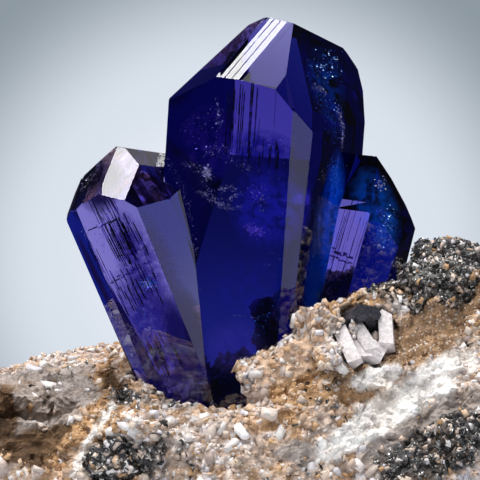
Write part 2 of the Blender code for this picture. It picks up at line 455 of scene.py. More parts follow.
class Shader(Nodes):
    """A material and its nodes."""

    def __init__(self, name: str) -> None:
        """Makes an empty material.

        Args:
            name: the material's name.
        """
        self.material = bpy.data.materials.new(name)
        self.material.use_nodes = True
        super().__init__(self.material.node_tree)
        self.output = self.tree.nodes.new("ShaderNodeOutputMaterial")

    def surface(self, shader: bpy.types.Node) -> bpy.types.Material:
        """Puts a shader on the material's surface and gives the material."""
        self.tree.links.new(shader.outputs[0], self.output.inputs["Surface"])
        return self.material


@dataclass(frozen=True)
class Stripes:
    """The growth steps across the top face: millimetres along that face, and how high each place stands."""

    facing: tuple[float, float, float] = (-0.031, -0.5912, 0.8059)
    along: tuple[float, float, float] = (0.4269, 0.7213, 0.5455)
    across: tuple[float, float, float] = (0.9038, -0.3609, -0.2300)
    steps: tuple[tuple[float, float], ...] = (
        (-7.80, 0.033), (-7.27, 0.0), (-6.13, 0.0), (-6.08, -0.03), (-6.03, 0.0), (-5.36, 0.0),
        (-4.77, -0.04), (-4.55, -0.10), (-4.30, -0.10),
    )
    line: float = -6.83
    line_half: float = 0.055
    line_depth: float = 0.03
    gap: tuple[float, float] = (10.6, 11.4)
    deepest: float = -0.10
    highest: float = 0.04
    match: float = 0.996

    def height(self, shader: Shader, local: bpy.types.NodeSocket,
               facing: bpy.types.NodeSocket) -> bpy.types.NodeSocket:
        """Adds the height of the steps, in millimetres.

        Args:
            shader: the material.
            local: the place in the main crystal's frame, in metres.
            facing: the face's direction in that frame.

        Returns:
            The height, which is nought off the face.
        """
        over = shader.dot(local, tuple(v / MM for v in self.across))
        length = shader.dot(local, tuple(v / MM for v in self.along))
        first, last = self.steps[0][0], self.steps[-1][0]
        reach = self.highest - self.deepest
        stops = tuple(((place - first) / (last - first), ((height - self.deepest) / reach,) * 3)
                      for place, height in self.steps)
        steps = shader.math("MULTIPLY", shader.ramp(shader.span(over, first, last, 0.0, 1.0), stops), reach)
        off_line = shader.math("ABSOLUTE", shader.math("SUBTRACT", over, self.line))
        groove = shader.span(off_line, 0.0, self.line_half, self.line_depth, 0.0)
        middle, half = sum(self.gap) / 2, (self.gap[1] - self.gap[0]) / 2
        off_gap = shader.math("ABSOLUTE", shader.math("SUBTRACT", length, middle))
        groove = shader.math("MULTIPLY", groove, shader.math("GREATER_THAN", off_gap, half))
        here = shader.math("GREATER_THAN", shader.dot(facing, self.facing), self.match)
        return shader.math("MULTIPLY", shader.math("SUBTRACT", steps, groove), here)


@dataclass(frozen=True)
class TanzaniteFinish:
    """Clear blue-violet crystal: plain transmission, refraction and absorption."""

    refraction: float = 1.69
    absorb: Colour = (0.107, 0.0, 0.70)
    density: float = 168.0
    striation: float = 0.36 * MM
    striation_length: float = 16 * MM
    fine_height: float = 0.0002
    broad_height: float = 0.005
    swell: float = 6 * MM
    swell_height: float = 0.004
    etched: float = 0.10
    skin: Colour = (0.008, 0.022, 0.18)
    stripes: Stripes = field(default_factory=Stripes)

    def material(self) -> bpy.types.Material:
        """Makes the crystal's material, with fine lines along each crystal's own axis."""
        shader = Shader("tanzanite")
        local = shader.attribute("crystal_place", "Vector")
        facing = shader.attribute("crystal_facing", "Vector")
        prism = shader.attribute("prism", "Fac")
        etched = shader.attribute("etched", "Fac")
        thin = (1 / self.striation, 1 / self.striation, 1 / self.striation_length)
        lines = shader.node("VectorMath", {0: local, 1: thin}, operation="MULTIPLY").outputs[0]
        wide = shader.node("VectorMath", {0: lines, 1: (0.2, 0.2, 0.5)}, operation="MULTIPLY").outputs[0]
        fine, broad = (
            shader.node("TexNoise", {"Vector": place, "Scale": 1.0, "Detail": 1.0}).outputs[0]
            for place in (lines, wide)
        )
        fine = shader.math("MULTIPLY", fine, self.fine_height)
        broad = shader.math("MULTIPLY", broad, self.broad_height)
        ridges = shader.math("MULTIPLY", shader.math("ADD", fine, broad), prism)
        swell = shader.math("MULTIPLY", shader.noise(local, 1 / self.swell, 0), self.swell_height)
        stripes = self.stripes.height(shader, local, facing)
        height = shader.math("ADD", shader.math("ADD", ridges, swell), stripes)
        bump = shader.node("Bump", {"Height": height, "Strength": 1.0, "Distance": MM})
        depth = shader.node("VolumeAbsorption", {"Color": (*self.absorb, 1), "Density": self.density})
        shader.tree.links.new(depth.outputs[0], shader.output.inputs["Volume"])
        return shader.surface(shader.node("BsdfPrincipled", {
            "Base Color": shader.blend(etched, (1, 1, 1), self.skin),
            "Roughness": shader.math("MULTIPLY", etched, self.etched),
            "IOR": self.refraction, "Transmission Weight": 1.0, "Normal": bump.outputs[0],
        }))


@dataclass(frozen=True)
class FilmFinish:
    """Tiny mirror-like films that lie inside the crystals, with a painted glow in place of the light that the
    veils scatter.
    """

    colour: Colour
    scatter: Colour
    strength: float
    roughness: float = 0.25
    patch: float = 0.5 * MM

    def material(self, name: str) -> bpy.types.Material:
        """Makes the films' material.

        Args:
            name: the material's name.

        Returns:
            The material.
        """
        shader = Shader(name)
        place = shader.node("TexCoord").outputs["Object"]
        tone = shader.span(shader.noise(place, 1 / self.patch, 2), 0.35, 0.65, 0.25, 1.0)
        colour = shader.node("VectorMath", {0: self.colour, 3: tone}, operation="SCALE").outputs[0]
        return shader.surface(shader.node("BsdfPrincipled", {
            "Base Color": colour, "Metallic": 1.0, "Roughness": self.roughness,
            # Painted glow: the films emit the scatter colour, though they are no lamps.
            "Emission Color": (*self.scatter, 1),
            "Emission Strength": shader.math("MULTIPLY", tone, self.strength),
        }))


class GrainGroup(Nodes):
    """The grain that all the minerals share: noise and cells that shade a tone, dull it and raise it."""

    NAME = "mineral_grain"

    def __init__(self) -> None:
        """Builds the group with its named inputs and outputs."""
        self.group = bpy.data.node_groups.new(self.NAME, "ShaderNodeTree")
        super().__init__(self.group)
        for name, kind in (("Place", "Vector"), ("Tone", "Color"), ("Fineness", "Float"), ("Dark", "Float"),
                           ("Light", "Float"), ("Smoothest", "Float"), ("Roughest", "Float")):
            self.group.interface.new_socket(name, in_out="INPUT", socket_type="NodeSocket" + kind)
        for name, kind in (("Color", "Color"), ("Roughness", "Float"), ("Height", "Float")):
            self.group.interface.new_socket(name, in_out="OUTPUT", socket_type="NodeSocket" + kind)
        given, out = self.tree.nodes.new("NodeGroupInput"), self.tree.nodes.new("NodeGroupOutput")
        self.fill(given.outputs, out.inputs)

    def fill(self, given: bpy.types.bpy_prop_collection, out: bpy.types.bpy_prop_collection) -> None:
        """Makes the nodes between the inputs and the outputs.

        Args:
            given: the group's inputs.
            out: the group's outputs.
        """
        place, fineness = given["Place"], given["Fineness"]
        fine = self.noise(place, fineness, 4)
        coarse = self.noise(place, self.math("DIVIDE", fineness, 5.0))
        cells = self.node("TexVoronoi", {"Vector": place, "Scale": self.math("DIVIDE", fineness, 1.6)})
        apart = cells.outputs["Distance"]
        shade = self.span(self.math("ADD", fine, coarse), 0.6, 1.4, given["Dark"], given["Light"])
        both = self.math("MULTIPLY", shade, self.span(apart, 0.0, 0.9, 1.1, 0.84))
        colour = self.node("VectorMath", {0: given["Tone"], 3: both}, operation="SCALE").outputs[0]
        height = self.math("ADD", self.math("MULTIPLY", apart, 1.2), fine)
        rough = self.span(fine, 0.35, 0.65, given["Smoothest"], given["Roughest"])
        for name, value in (("Color", colour), ("Roughness", rough), ("Height", height)):
            self.tree.links.new(value, out[name])


@dataclass(frozen=True)
class GrainFinish:
    """A mineral's surface: a tone broken up by the shared grain, and raised by it."""

    name: str
    roughness: float = 0.6
    metallic: float = 0.0
    grain: float = 0.18 * MM
    depth: float = 0.03 * MM
    uneven: float = 0.35
    sparkle: float = 0.0

    def material(self, tone: Colour | None = None) -> bpy.types.Material:
        """Makes the mineral's material.

        Args:
            tone: its colour, or None for the colours stored at the piece's points.

        Returns:
            The material.
        """
        shader = Shader(self.name)
        group = bpy.data.node_groups.get(GrainGroup.NAME) or GrainGroup().group
        grain = shader.node("Group", node_tree=group)
        values = {
            "Place": shader.node("TexCoord").outputs["Object"],
            "Tone": (*tone, 1) if tone else shader.attribute("tone", "Color"),
            "Fineness": 1 / self.grain, "Dark": 1 - self.uneven, "Light": 1 + self.uneven,
            "Smoothest": max(self.roughness - 0.12, 0.05), "Roughest": min(self.roughness + 0.15, 1.0),
        }
        shader.feed(grain, values)
        height = grain.outputs["Height"]
        bump = shader.node("Bump", {"Height": height, "Strength": 0.8, "Distance": self.depth})
        return shader.surface(shader.node("BsdfPrincipled", {
            "Base Color": grain.outputs["Color"], "Roughness": grain.outputs["Roughness"],
            "Metallic": self.metallic, "Normal": bump.outputs[0],
            "Coat Weight": self.sparkle, "Coat Roughness": 0.15,
        }))


# The crystals


@dataclass(frozen=True)
class Growth:
    """One crystal of the group: the point that its faces are measured from, and its lean to the right.

    The window is the azimuth and the slope of the smooth back face that its front looks out through.
    """

    centre: tuple[float, float, float]
    lean: float
    window: tuple[float, float]

    def turned(self, vectors: np.ndarray) -> np.ndarray:
        """Directions in the crystal's own frame.

        Args:
            vectors: directions, one row each.

        Returns:
            The directions in that frame, one row each.
        """
        turn = math.radians(self.lean)
        across = vectors[:, 0] * math.cos(turn) - vectors[:, 2] * math.sin(turn)
        along = vectors[:, 0] * math.sin(turn) + vectors[:, 2] * math.cos(turn)
        return np.stack([across, vectors[:, 1], along], axis=1)

    def world(self, points: np.ndarray) -> np.ndarray:
        """Places in the scene.

        Args:
            points: places in the crystal's frame, in metres, one row each.

        Returns:
            The places in the scene, one row each.
        """
        turn = math.radians(self.lean)
        across = points[:, 0] * math.cos(turn) + points[:, 2] * math.sin(turn)
        rise = points[:, 2] * math.cos(turn) - points[:, 0] * math.sin(turn)
        return np.stack([across, points[:, 1], rise], axis=1) + np.array(self.centre) * MM

    def local(self, points: np.ndarray) -> np.ndarray:
        """Places in the crystal's own frame, which stands upright at its centre.

        Args:
            points: places in metres, one row each.

        Returns:
            The places in that frame, one row each.
        """
        return self.turned(points - np.array(self.centre) * MM)

    def clear_back(self, facing: np.ndarray) -> np.ndarray:
        """Which directions are those of the smooth back face.

        Args:
            facing: directions in the crystal's frame, one row each.

        Returns:
            True or false for each row.
        """
        azimuth, slope = (math.radians(angle) for angle in self.window)
        way = (math.sin(azimuth) * math.cos(slope), -math.cos(azimuth) * math.cos(slope), math.sin(slope))
        return facing @ np.array(way) > 0.9995


MAIN = Growth((2.4, 0.0, 33.5), 3.7, (172, 0))
LEFT = Growth((-9.8, -4.0, 28.4), -25.5, (160, 3.2))
RIGHT = Growth((13.2, 0.0, 33.5), 16.0, (165, -9))


@dataclass
class Crystals:
    """The three crystals, their faces softened by hair-fine edges."""

    finish: TanzaniteFinish = field(default_factory=TanzaniteFinish)
    edge: float = 0.06 * MM
    main_left: float = -10.6 * MM
    main_right: float = 10.95 * MM
    main_corner: tuple[float, float] = (60.0, 6.85 * MM)
    most_slope: float = 0.3
    least_behind: float = 0.3

    def build(self) -> None:
        """Makes the crystals' piece."""
        piece = merged_copy("tanzanite_crystals", "crystals")
        bevel = piece.modifiers.new("edges", "BEVEL")
        bevel.width = self.edge
        bevel.segments = 2
        bevel.limit_method = "ANGLE"
        bevel.angle_limit = math.radians(3)
        bake_modifiers(piece)
        self.store_places(piece.data)
        piece.data.materials.clear()
        piece.data.materials.append(self.finish.material())
        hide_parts("tanzanite_crystals")
        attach(piece, "root")

    def store_places(self, mesh: bpy.types.Mesh) -> None:
        """Stores, at each corner, the place in its own crystal's frame and whether its face is upright there.

        Args:
            mesh: the crystals' mesh.
        """
        centres, normals = rows_of(mesh.polygons, "center"), rows_of(mesh.polygons, "normal")
        corners = numbers_of(mesh.loops, "vertex_index")
        main = MAIN.local(centres)
        azimuth, reach = math.radians(self.main_corner[0]), self.main_corner[1]
        cornerwise = main @ np.array((math.sin(azimuth), -math.cos(azimuth), 0))
        on_right = (cornerwise > reach) | (main[:, 0] > self.main_right)
        owner = np.where(main[:, 0] < self.main_left, 1, np.where(on_right, 2, 0))
        face_of = np.repeat(np.arange(len(owner)), numbers_of(mesh.polygons, "loop_total"))
        points = rows_of(mesh.vertices, "co")[corners]
        places = np.zeros((len(corners), 3))
        facings = np.zeros((len(owner), 3))
        clear = np.zeros(len(owner), bool)
        for number, growth in enumerate((MAIN, LEFT, RIGHT)):
            facing = growth.turned(normals)
            clear |= growth.clear_back(facing)
            facings[owner == number] = facing[owner == number]
            mine = owner[face_of] == number
            places[mine] = growth.local(points[mine])
        upright = np.abs(facings[:, 2]) < self.most_slope
        etched = (normals[:, 1] > self.least_behind) & ~clear
        self.store(mesh, "crystal_place", "FLOAT_VECTOR", "vector", places)
        self.store(mesh, "crystal_facing", "FLOAT_VECTOR", "vector", facings[face_of])
        self.store(mesh, "prism", "FLOAT", "value", upright[face_of])
        self.store(mesh, "etched", "FLOAT", "value", etched[face_of])

    @staticmethod
    def store(mesh: bpy.types.Mesh, name: str, kind: str, value: str, rows: np.ndarray) -> None:
        """Stores an attribute at each face corner.

        Args:
            mesh: the mesh.
            name: the attribute's name.
            kind: its data type.
            value: the name of the field that holds it.
            rows: one row for each corner.
        """
        layer = mesh.attributes.new(name, kind, "CORNER")
        layer.data.foreach_set(value, rows.astype(np.float32).ravel())


@dataclass(frozen=True)
class Veil:
    """A cloud or a wisp of tiny films inside a crystal, in millimetres.

    The films gather round a path of points and spread from it across, in depth and up.
    """

    path: tuple[tuple[float, float, float], ...]
    spread: tuple[float, float, float]
    count: int
    size: tuple[float, float] = (0.03, 0.12)


@dataclass
class Inclusions:
    """The films and sparks inside the crystals."""

    blue: tuple[Veil, ...] = (
        Veil(((9.4, 0.2, 43.2), (9.8, 0.3, 39.8)), (1.1, 0.4, 0.9), 900, (0.03, 0.16)),
        Veil(((9.0, 0.0, 39.0), (8.9, 0.0, 37.0)), (0.35, 0.3, 0.5), 90, (0.04, 0.16)),
        Veil(((7.2, -1.0, 38.0), (7.5, -1.0, 34.6)), (0.3, 0.3, 0.5), 90, (0.04, 0.16)),
        Veil(((8.0, -0.6, 50.6), (9.6, 0.4, 46.0)), (1.4, 0.5, 1.5), 240, (0.03, 0.15)),
        Veil(((9.4, 0.5, 53.6),), (1.7, 0.8, 1.6), 200, (0.03, 0.15)),
        Veil(((-9.6, -4.5, 30.5),), (0.9, 0.5, 0.5), 340, (0.03, 0.20)),
        Veil(((-11.0, -4.4, 27.6), (-9.4, -4.2, 24.6)), (1.2, 0.5, 0.8), 110),
        Veil(((-15.2, -3.6, 38.0), (-14.0, -3.8, 35.0)), (1.0, 0.5, 0.8), 60),
        Veil(((16.6, 0.8, 37.8), (15.6, 0.6, 34.0)), (0.7, 0.5, 0.8), 240, (0.03, 0.16)),
        Veil(((3.0, -5.0, 27.8), (1.4, -5.0, 24.2)), (1.4, 0.5, 1.2), 70),
    )
    violet: tuple[Veil, ...] = (
        Veil(((1.0, -5.2, 36.6), (2.4, -5.2, 35.8)), (0.6, 0.4, 0.45), 300, (0.03, 0.16)),
        Veil(((2.8, -5.0, 41.0), (1.6, -5.0, 39.4)), (0.8, 0.4, 0.7), 130, (0.03, 0.13)),
        Veil(((3.0, -5.4, 45.6), (5.2, -5.4, 45.6)), (0.7, 0.3, 0.5), 130),
        Veil(((-2.0, -5.0, 45.2), (0.8, -5.0, 44.6)), (0.9, 0.3, 0.5), 90),
        Veil(((-15.4, -5.0, 36.0), (-14.6, -5.0, 34.2)), (0.5, 0.3, 0.5), 60),
        Veil(((-12.8, -4.6, 33.6), (-11.0, -4.6, 31.6)), (0.9, 0.4, 0.6), 120, (0.03, 0.11)),
        Veil(((9.6, 0.2, 33.2), (11.6, 0.0, 32.6)), (0.3, 0.3, 0.2), 90, (0.03, 0.14)),
        Veil(((-6.2, -4.5, 47.6), (-4.6, -4.0, 46.0)), (0.9, 0.5, 0.9), 40),
    )
    white: tuple[Veil, ...] = (
        Veil(((-8.2, -3.6, 44.2), (-6.2, -3.8, 41.1), (-5.1, -4.2, 37.2), (-4.4, -4.4, 29.6)),
             (0.3, 0.3, 0.5), 190, (0.02, 0.09)),
        Veil(((-5.9, -4.4, 43.4), (-4.8, -4.6, 43.0), (-3.6, -4.8, 40.7), (-2.4, -5.0, 39.2),
              (-1.4, -5.0, 38.7)), (0.5, 0.4, 0.45), 260, (0.02, 0.10)),
        Veil(((-4.4, -4.6, 40.4), (-3.2, -4.8, 39.6), (-1.6, -5.0, 38.7), (0.2, -5.0, 38.5)),
             (0.35, 0.3, 0.25), 240, (0.02, 0.11)),
        Veil(((-2.4, -5.0, 40.5), (-1.0, -5.0, 40.9), (0.1, -5.0, 40.3), (-0.7, -5.0, 39.8),
              (-1.4, -5.0, 38.9)), (0.3, 0.3, 0.3), 200, (0.02, 0.12)),
        Veil(((-1.6, -5.0, 44.3), (-0.2, -5.0, 43.6), (1.2, -5.0, 42.9)), (0.5, 0.3, 0.5), 90, (0.02, 0.10)),
        Veil(((-3.7, -4.8, 42.9), (-3.2, -4.8, 42.0)), (0.45, 0.3, 0.45), 190, (0.04, 0.18)),
        Veil(((-3.4, -4.8, 44.4), (-2.0, -4.8, 45.2)), (0.8, 0.3, 0.6), 60, (0.03, 0.13)),
        Veil(((-2.4, -4.8, 50.0), (-2.1, -4.8, 47.4)), (0.4, 0.3, 0.6), 90, (0.03, 0.13)),
        Veil(((-4.8, -4.6, 48.4), (-2.8, -4.8, 46.6)), (0.9, 0.3, 0.9), 40, (0.02, 0.09)),
        Veil(((2.0, -5.2, 40.2), (2.8, -5.2, 38.4)), (0.4, 0.2, 0.4), 30),
        Veil(((10.7, 0.8, 49.0), (10.5, 0.8, 45.0)), (0.35, 0.2, 0.5), 220, (0.03, 0.18)),
        Veil(((9.2, 0.2, 50.8), (7.4, -0.4, 51.2)), (0.6, 0.2, 0.5), 110, (0.03, 0.15)),
        Veil(((-0.6, -5.2, 26.9), (2.2, -5.2, 26.6)), (0.1, 0.1, 0.03), 60, (0.02, 0.06)),
        Veil(((15.9, 0.6, 41.4), (15.5, 0.6, 40.2)), (0.5, 0.2, 0.5), 60, (0.03, 0.15)),
        Veil(((-10.3, -4.8, 30.6), (-9.3, -4.8, 30.0)), (0.5, 0.2, 0.4), 190, (0.03, 0.16)),
        Veil(((-12.0, -4.6, 24.8),), (0.6, 0.3, 0.5), 40),
        Veil(((-16.6, -4.6, 36.4), (-16.2, -4.6, 35.4)), (0.4, 0.2, 0.4), 40, (0.03, 0.13)),
        Veil(((-17.2, -4.0, 40.4), (-15.6, -3.6, 42.4)), (0.5, 0.2, 0.5), 60, (0.03, 0.13)),
        Veil(((-9.6, -3.0, 43.6), (-8.6, -3.0, 42.2)), (0.7, 0.3, 0.5), 60, (0.02, 0.09)),
        Veil(((0.0, -5.4, 45.4), (5.6, -5.4, 41.0), (3.6, -5.4, 30.0)), (1.6, 0.3, 2.0), 150, (0.02, 0.06)),
    )
    seed: int = 11

    def build(self) -> None:
        """Makes one piece for each colour of film."""
        looks = {
            "blue_films": (self.blue, FilmFinish((0.5, 0.7, 1.0), (0.03, 0.20, 1.0), 0.55)),
            "violet_films": (self.violet, FilmFinish((0.7, 0.6, 1.0), (0.20, 0.12, 1.0), 0.55)),
            "white_films": (self.white, FilmFinish((1.0, 1.0, 1.0), (0.55, 0.55, 0.95), 0.5, 0.15)),
        }
        for name, (veils, finish) in looks.items():
            piece = new_piece(name, self.films(name, veils))
            piece.data.materials.append(finish.material(name))
            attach(piece, "root")

    def films(self, name: str, veils: tuple[Veil, ...]) -> bpy.types.Mesh:
        """Makes one mesh of all the films: four-cornered flakes at random places along each path.

        A flake's place is an even share of the way along the path plus a random share of the spread.
        Its corners are its place plus and minus two directions at right angles, times its size.

        Args:
            name: the mesh's name.
            veils: the clouds and wisps.

        Returns:
            The mesh.
        """
        random = np.random.default_rng(self.seed)
        corners = []
        for veil in veils:
            path = np.array(veil.path)
            along = random.uniform(0, max(len(path) - 1, 0), veil.count)
            steps = np.arange(len(path))
            place = np.stack([np.interp(along, steps, path[:, axis]) for axis in range(3)], axis=1)
            place = (place + random.normal(0, 0.6, (veil.count, 3)) * np.array(veil.spread)) * MM
            facing = random.normal(0, 0.5, (veil.count, 3)) + np.array((0.0, -0.72, 0.7))
            facing /= np.linalg.norm(facing, axis=1)[:, None]
            side = np.cross(facing, random.normal(0, 1, (veil.count, 3)))
            side /= np.linalg.norm(side, axis=1)[:, None]
            other = np.cross(facing, side) * random.uniform(0.12, 0.8, (veil.count, 1))
            low, high = veil.size
            size = (low * (high / low) ** (random.uniform(0, 1, (veil.count, 1)) ** 1.6)) * MM
            corners.append(np.stack([place + side * size, place + other * size, place - side * size,
                                     place - other * size], axis=1))
        points = np.concatenate(corners).reshape(-1, 3)
        return array_mesh(name, points, [np.arange(len(points)).reshape(-1, 4)])


@dataclass(frozen=True)
class Haze:
    """A soft cloud inside a crystal: how it tints and glows, and where it lies, in millimetres.

    It is a thin upright lens, closed all round, that thins out to nothing towards its rim. Each point of
    the rim is the centre plus two directions at right angles, times the cosine and the sine of its turn.
    """

    name: str
    centre: tuple[float, float, float]
    half: tuple[float, float]
    lean: float
    tint: Colour
    glow: Colour
    grain: float = 1.6
    least: float = 0.42
    base: float = 0.0
    sides: int = 40
    thick: float = 0.3

    def build(self) -> None:
        """Makes the lens's piece."""
        turn = math.radians(self.lean)
        across = np.array((math.cos(turn), 0, -math.sin(turn)))
        up = np.array((math.sin(turn), 0, math.cos(turn)))
        turns = np.arange(self.sides)[:, None] * 2 * math.pi / self.sides
        rim = across * np.cos(turns) * self.half[0] + up * np.sin(turns) * self.half[1]
        thick = np.array((0, self.thick / 2, 0))
        points = (np.concatenate([rim, [-thick, thick]]) + np.array(self.centre)) * MM
        here = np.arange(self.sides)
        after = (here + 1) % self.sides
        front = np.stack([here, after, np.full(self.sides, self.sides)], axis=1)
        back = np.stack([after, here, np.full(self.sides, self.sides + 1)], axis=1)
        mesh = array_mesh(self.name, points, [front, back])
        reach = mesh.attributes.new("reach", "FLOAT", "POINT")
        reach.data.foreach_set("value", [1.0] * self.sides + [0.0, 0.0])
        mesh.materials.append(self.material())
        piece = new_piece(self.name, mesh)
        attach(piece, "root")

    def material(self) -> bpy.types.Material:
        """Makes the lens's material.

        Light crosses both sides, so each has the root of the tint and half of the glow.
        """
        shader = Shader(self.name)
        place = shader.node("TexCoord").outputs["Object"]
        noise = shader.noise(place, 1 / (self.grain * MM), 4)
        cloud = shader.span(noise, self.least, self.least + 0.2, self.base, 1.0)
        inward = shader.span(shader.attribute("reach", "Fac"), 0.45, 1.0, 1.0, 0.0)
        cover = shader.math("MULTIPLY", inward, cloud)
        one_side = tuple(math.sqrt(share) for share in self.tint)
        through = shader.node("BsdfTransparent", {"Color": shader.blend(cover, (1, 1, 1), one_side)})
        strength = shader.math("MULTIPLY", cover, 0.5)
        light = shader.node("Emission", {"Color": (*self.glow, 1), "Strength": strength})
        return shader.surface(shader.node("AddShader", {0: through.outputs[0], 1: light.outputs[0]}))


HAZES = (
    Haze("haze_teal", (8.3, 2.2, 36.4), (2.9, 8.8), 4, (0.6, 0.7, 1.0),
         (0.0, 0.046, 0.36), 1.1, 0.34, 0.2),
    Haze("haze_teal_low", (6.2, -0.4, 30.2), (2.2, 6.0), 4, (0.06, 0.12, 0.40),
         (0.0, 0.016, 0.12), 1.0, 0.30, 0.8),
    Haze("haze_teal_top", (8.6, 1.5, 50.5), (3.2, 5.5), 4, (0.6, 0.7, 1.0),
         (0.0, 0.012, 0.11), 1.2, 0.40),
    Haze("haze_right", (15.0, 2.0, 37.6), (2.7, 5.4), -16, (0.7, 0.8, 1.0),
         (0.0, 0.034, 0.23), 1.0, 0.38, 0.1),
    Haze("haze_middle", (3.0, -3.6, 38.6), (4.2, 5.0), 4, (0.8, 0.8, 1.0),
         (0.008, 0.008, 0.20), 1.2, 0.36, 0.1),
    Haze("haze_low", (1.6, -3.6, 30.0), (4.6, 4.2), 4, (0.8, 0.8, 1.0),
         (0.003, 0.002, 0.05), 1.4, 0.44),
    Haze("haze_foot", (-0.4, -3.8, 23.4), (3.8, 3.4), 4, (0.7, 0.7, 1.0),
         (0.018, 0.013, 0.05), 1.2, 0.30, 0.2),
    Haze("haze_upper", (-3.4, -3.6, 45.6), (3.4, 4.6), 4, (0.8, 0.8, 1.0),
         (0.008, 0.003, 0.06), 1.2, 0.42),
    Haze("haze_strip", (5.8, -3.6, 39.4), (0.8, 1.0), 4, (0.8, 0.8, 1.0),
         (0.03, 0.02, 0.24), 0.5, 0.34, 0.1),
    Haze("haze_window", (2.2, -4.4, 44.8), (4.8, 2.5), 4, (0.10, 0.12, 0.36),
         (0.004, 0.004, 0.09), 0.9, 0.34, 0.3),
    Haze("haze_left", (-8.4, -2.6, 24.6), (4.6, 9.4), -25, (0.07, 0.06, 0.24),
         (0.015, 0.010, 0.105), 0.9, 0.34, 0.6),
    Haze("haze_left_side", (-10.4, -2.6, 32.8), (2.6, 6.6), -25, (0.16, 0.13, 0.38),
         (0.006, 0.003, 0.04), 0.7, 0.36, 0.4),
    Haze("haze_left_edge", (-15.2, -3.0, 31.2), (0.9, 6.2), -25, (0.10, 0.08, 0.16),
         (0.008, 0.002, 0.025), 0.8, 0.30, 0.4),
    Haze("haze_left_top", (-14.6, -1.0, 40.4), (2.3, 2.7), 0, (0.05, 0.04, 0.10),
         (0.001, 0.001, 0.006), 0.8, 0.30, 0.6),
    Haze("haze_grey", (-6.0, -2.4, 24.6), (2.0, 5.6), -14, (0.04, 0.04, 0.12),
         (0.010, 0.009, 0.035), 1.0, 0.30, 1.0),
)


@dataclass(frozen=True)
class Needle:
    """A thin dark blade inside a crystal, in millimetres in that crystal's frame."""

    growth: Growth
    across: float
    depth: float
    low: float
    high: float
    half_wide: float
    half_thick: float = 0.05

    def corners(self, random: np.random.Generator) -> np.ndarray:
        """The eight corners: those of a box, its ends moved up and down and its sides in and out at random.

        Args:
            random: the random numbers.

        Returns:
            The corners in the scene, one row each.
        """
        middle = np.array((self.across, self.depth, (self.low + self.high) / 2))
        local = BOX_CORNERS * np.array((self.half_wide, self.half_thick, (self.high - self.low) / 2))
        local[:, 2] += random.normal(0, 0.25, 8)
        local[:, 0] *= random.uniform(0.5, 1.2, 8)
        return self.growth.world((local + middle) * MM)


@dataclass(frozen=True)
class Crack:
    """A jagged row of short flat blades inside a crystal, in millimetres in that crystal's frame."""

    growth: Growth
    left: float
    right: float
    depth: float
    start: float
    end: float
    half_high: float
    pitch: float = 0.35

    def blades(self, random: np.random.Generator) -> list[np.ndarray]:
        """The corners of each blade: boxes at even steps along a line, each moved and sized at random.

        Args:
            random: the random numbers.

        Returns:
            For each blade, its corners in the scene, one row each.
        """
        made = []
        count = max(int((self.right - self.left) / self.pitch), 2)
        for share in (np.arange(count) + 0.5) / count:
            middle = np.array((self.left + (self.right - self.left) * share,
                               self.depth + random.uniform(-0.2, 0.2),
                               self.start + (self.end - self.start) * share + random.normal(0, 0.09)))
            size = np.array((0.22, 0.25, self.half_high * random.uniform(0.3, 1.5)))
            local = BOX_CORNERS * size * random.uniform(0.6, 1.3, (8, 3))
            made.append(self.growth.world((local + middle) * MM))
        return made


@dataclass(frozen=True)
class Streaks:
    """A sheaf of fine blades at random places just under a face, in the crystal's frame."""

    growth: Growth
    across: tuple[float, float]
    depths: tuple[float, float]
    heights: tuple[float, float]
    count: int
    half_wide: tuple[float, float] = (0.02, 0.07)
    length: tuple[float, float] = (0.3, 1.0)

    def blades(self, random: np.random.Generator) -> list[Needle]:
        """Places the sheaf's blades.

        Args:
            random: the random numbers.

        Returns:
            The blades.
        """
        made = []
        low, high = self.heights
        for _ in range(self.count):
            share = random.uniform()
            reach = (high - low) * random.uniform(*self.length)
            start = random.uniform(low, high - reach)
            across = np.interp(share, (0, 1), self.across)
            depth = np.interp(share, (0, 1), self.depths) + random.uniform(0, 0.5)
            half_wide = random.uniform(*self.half_wide)
            made.append(Needle(self.growth, across, depth, start, start + reach, half_wide))
        return made


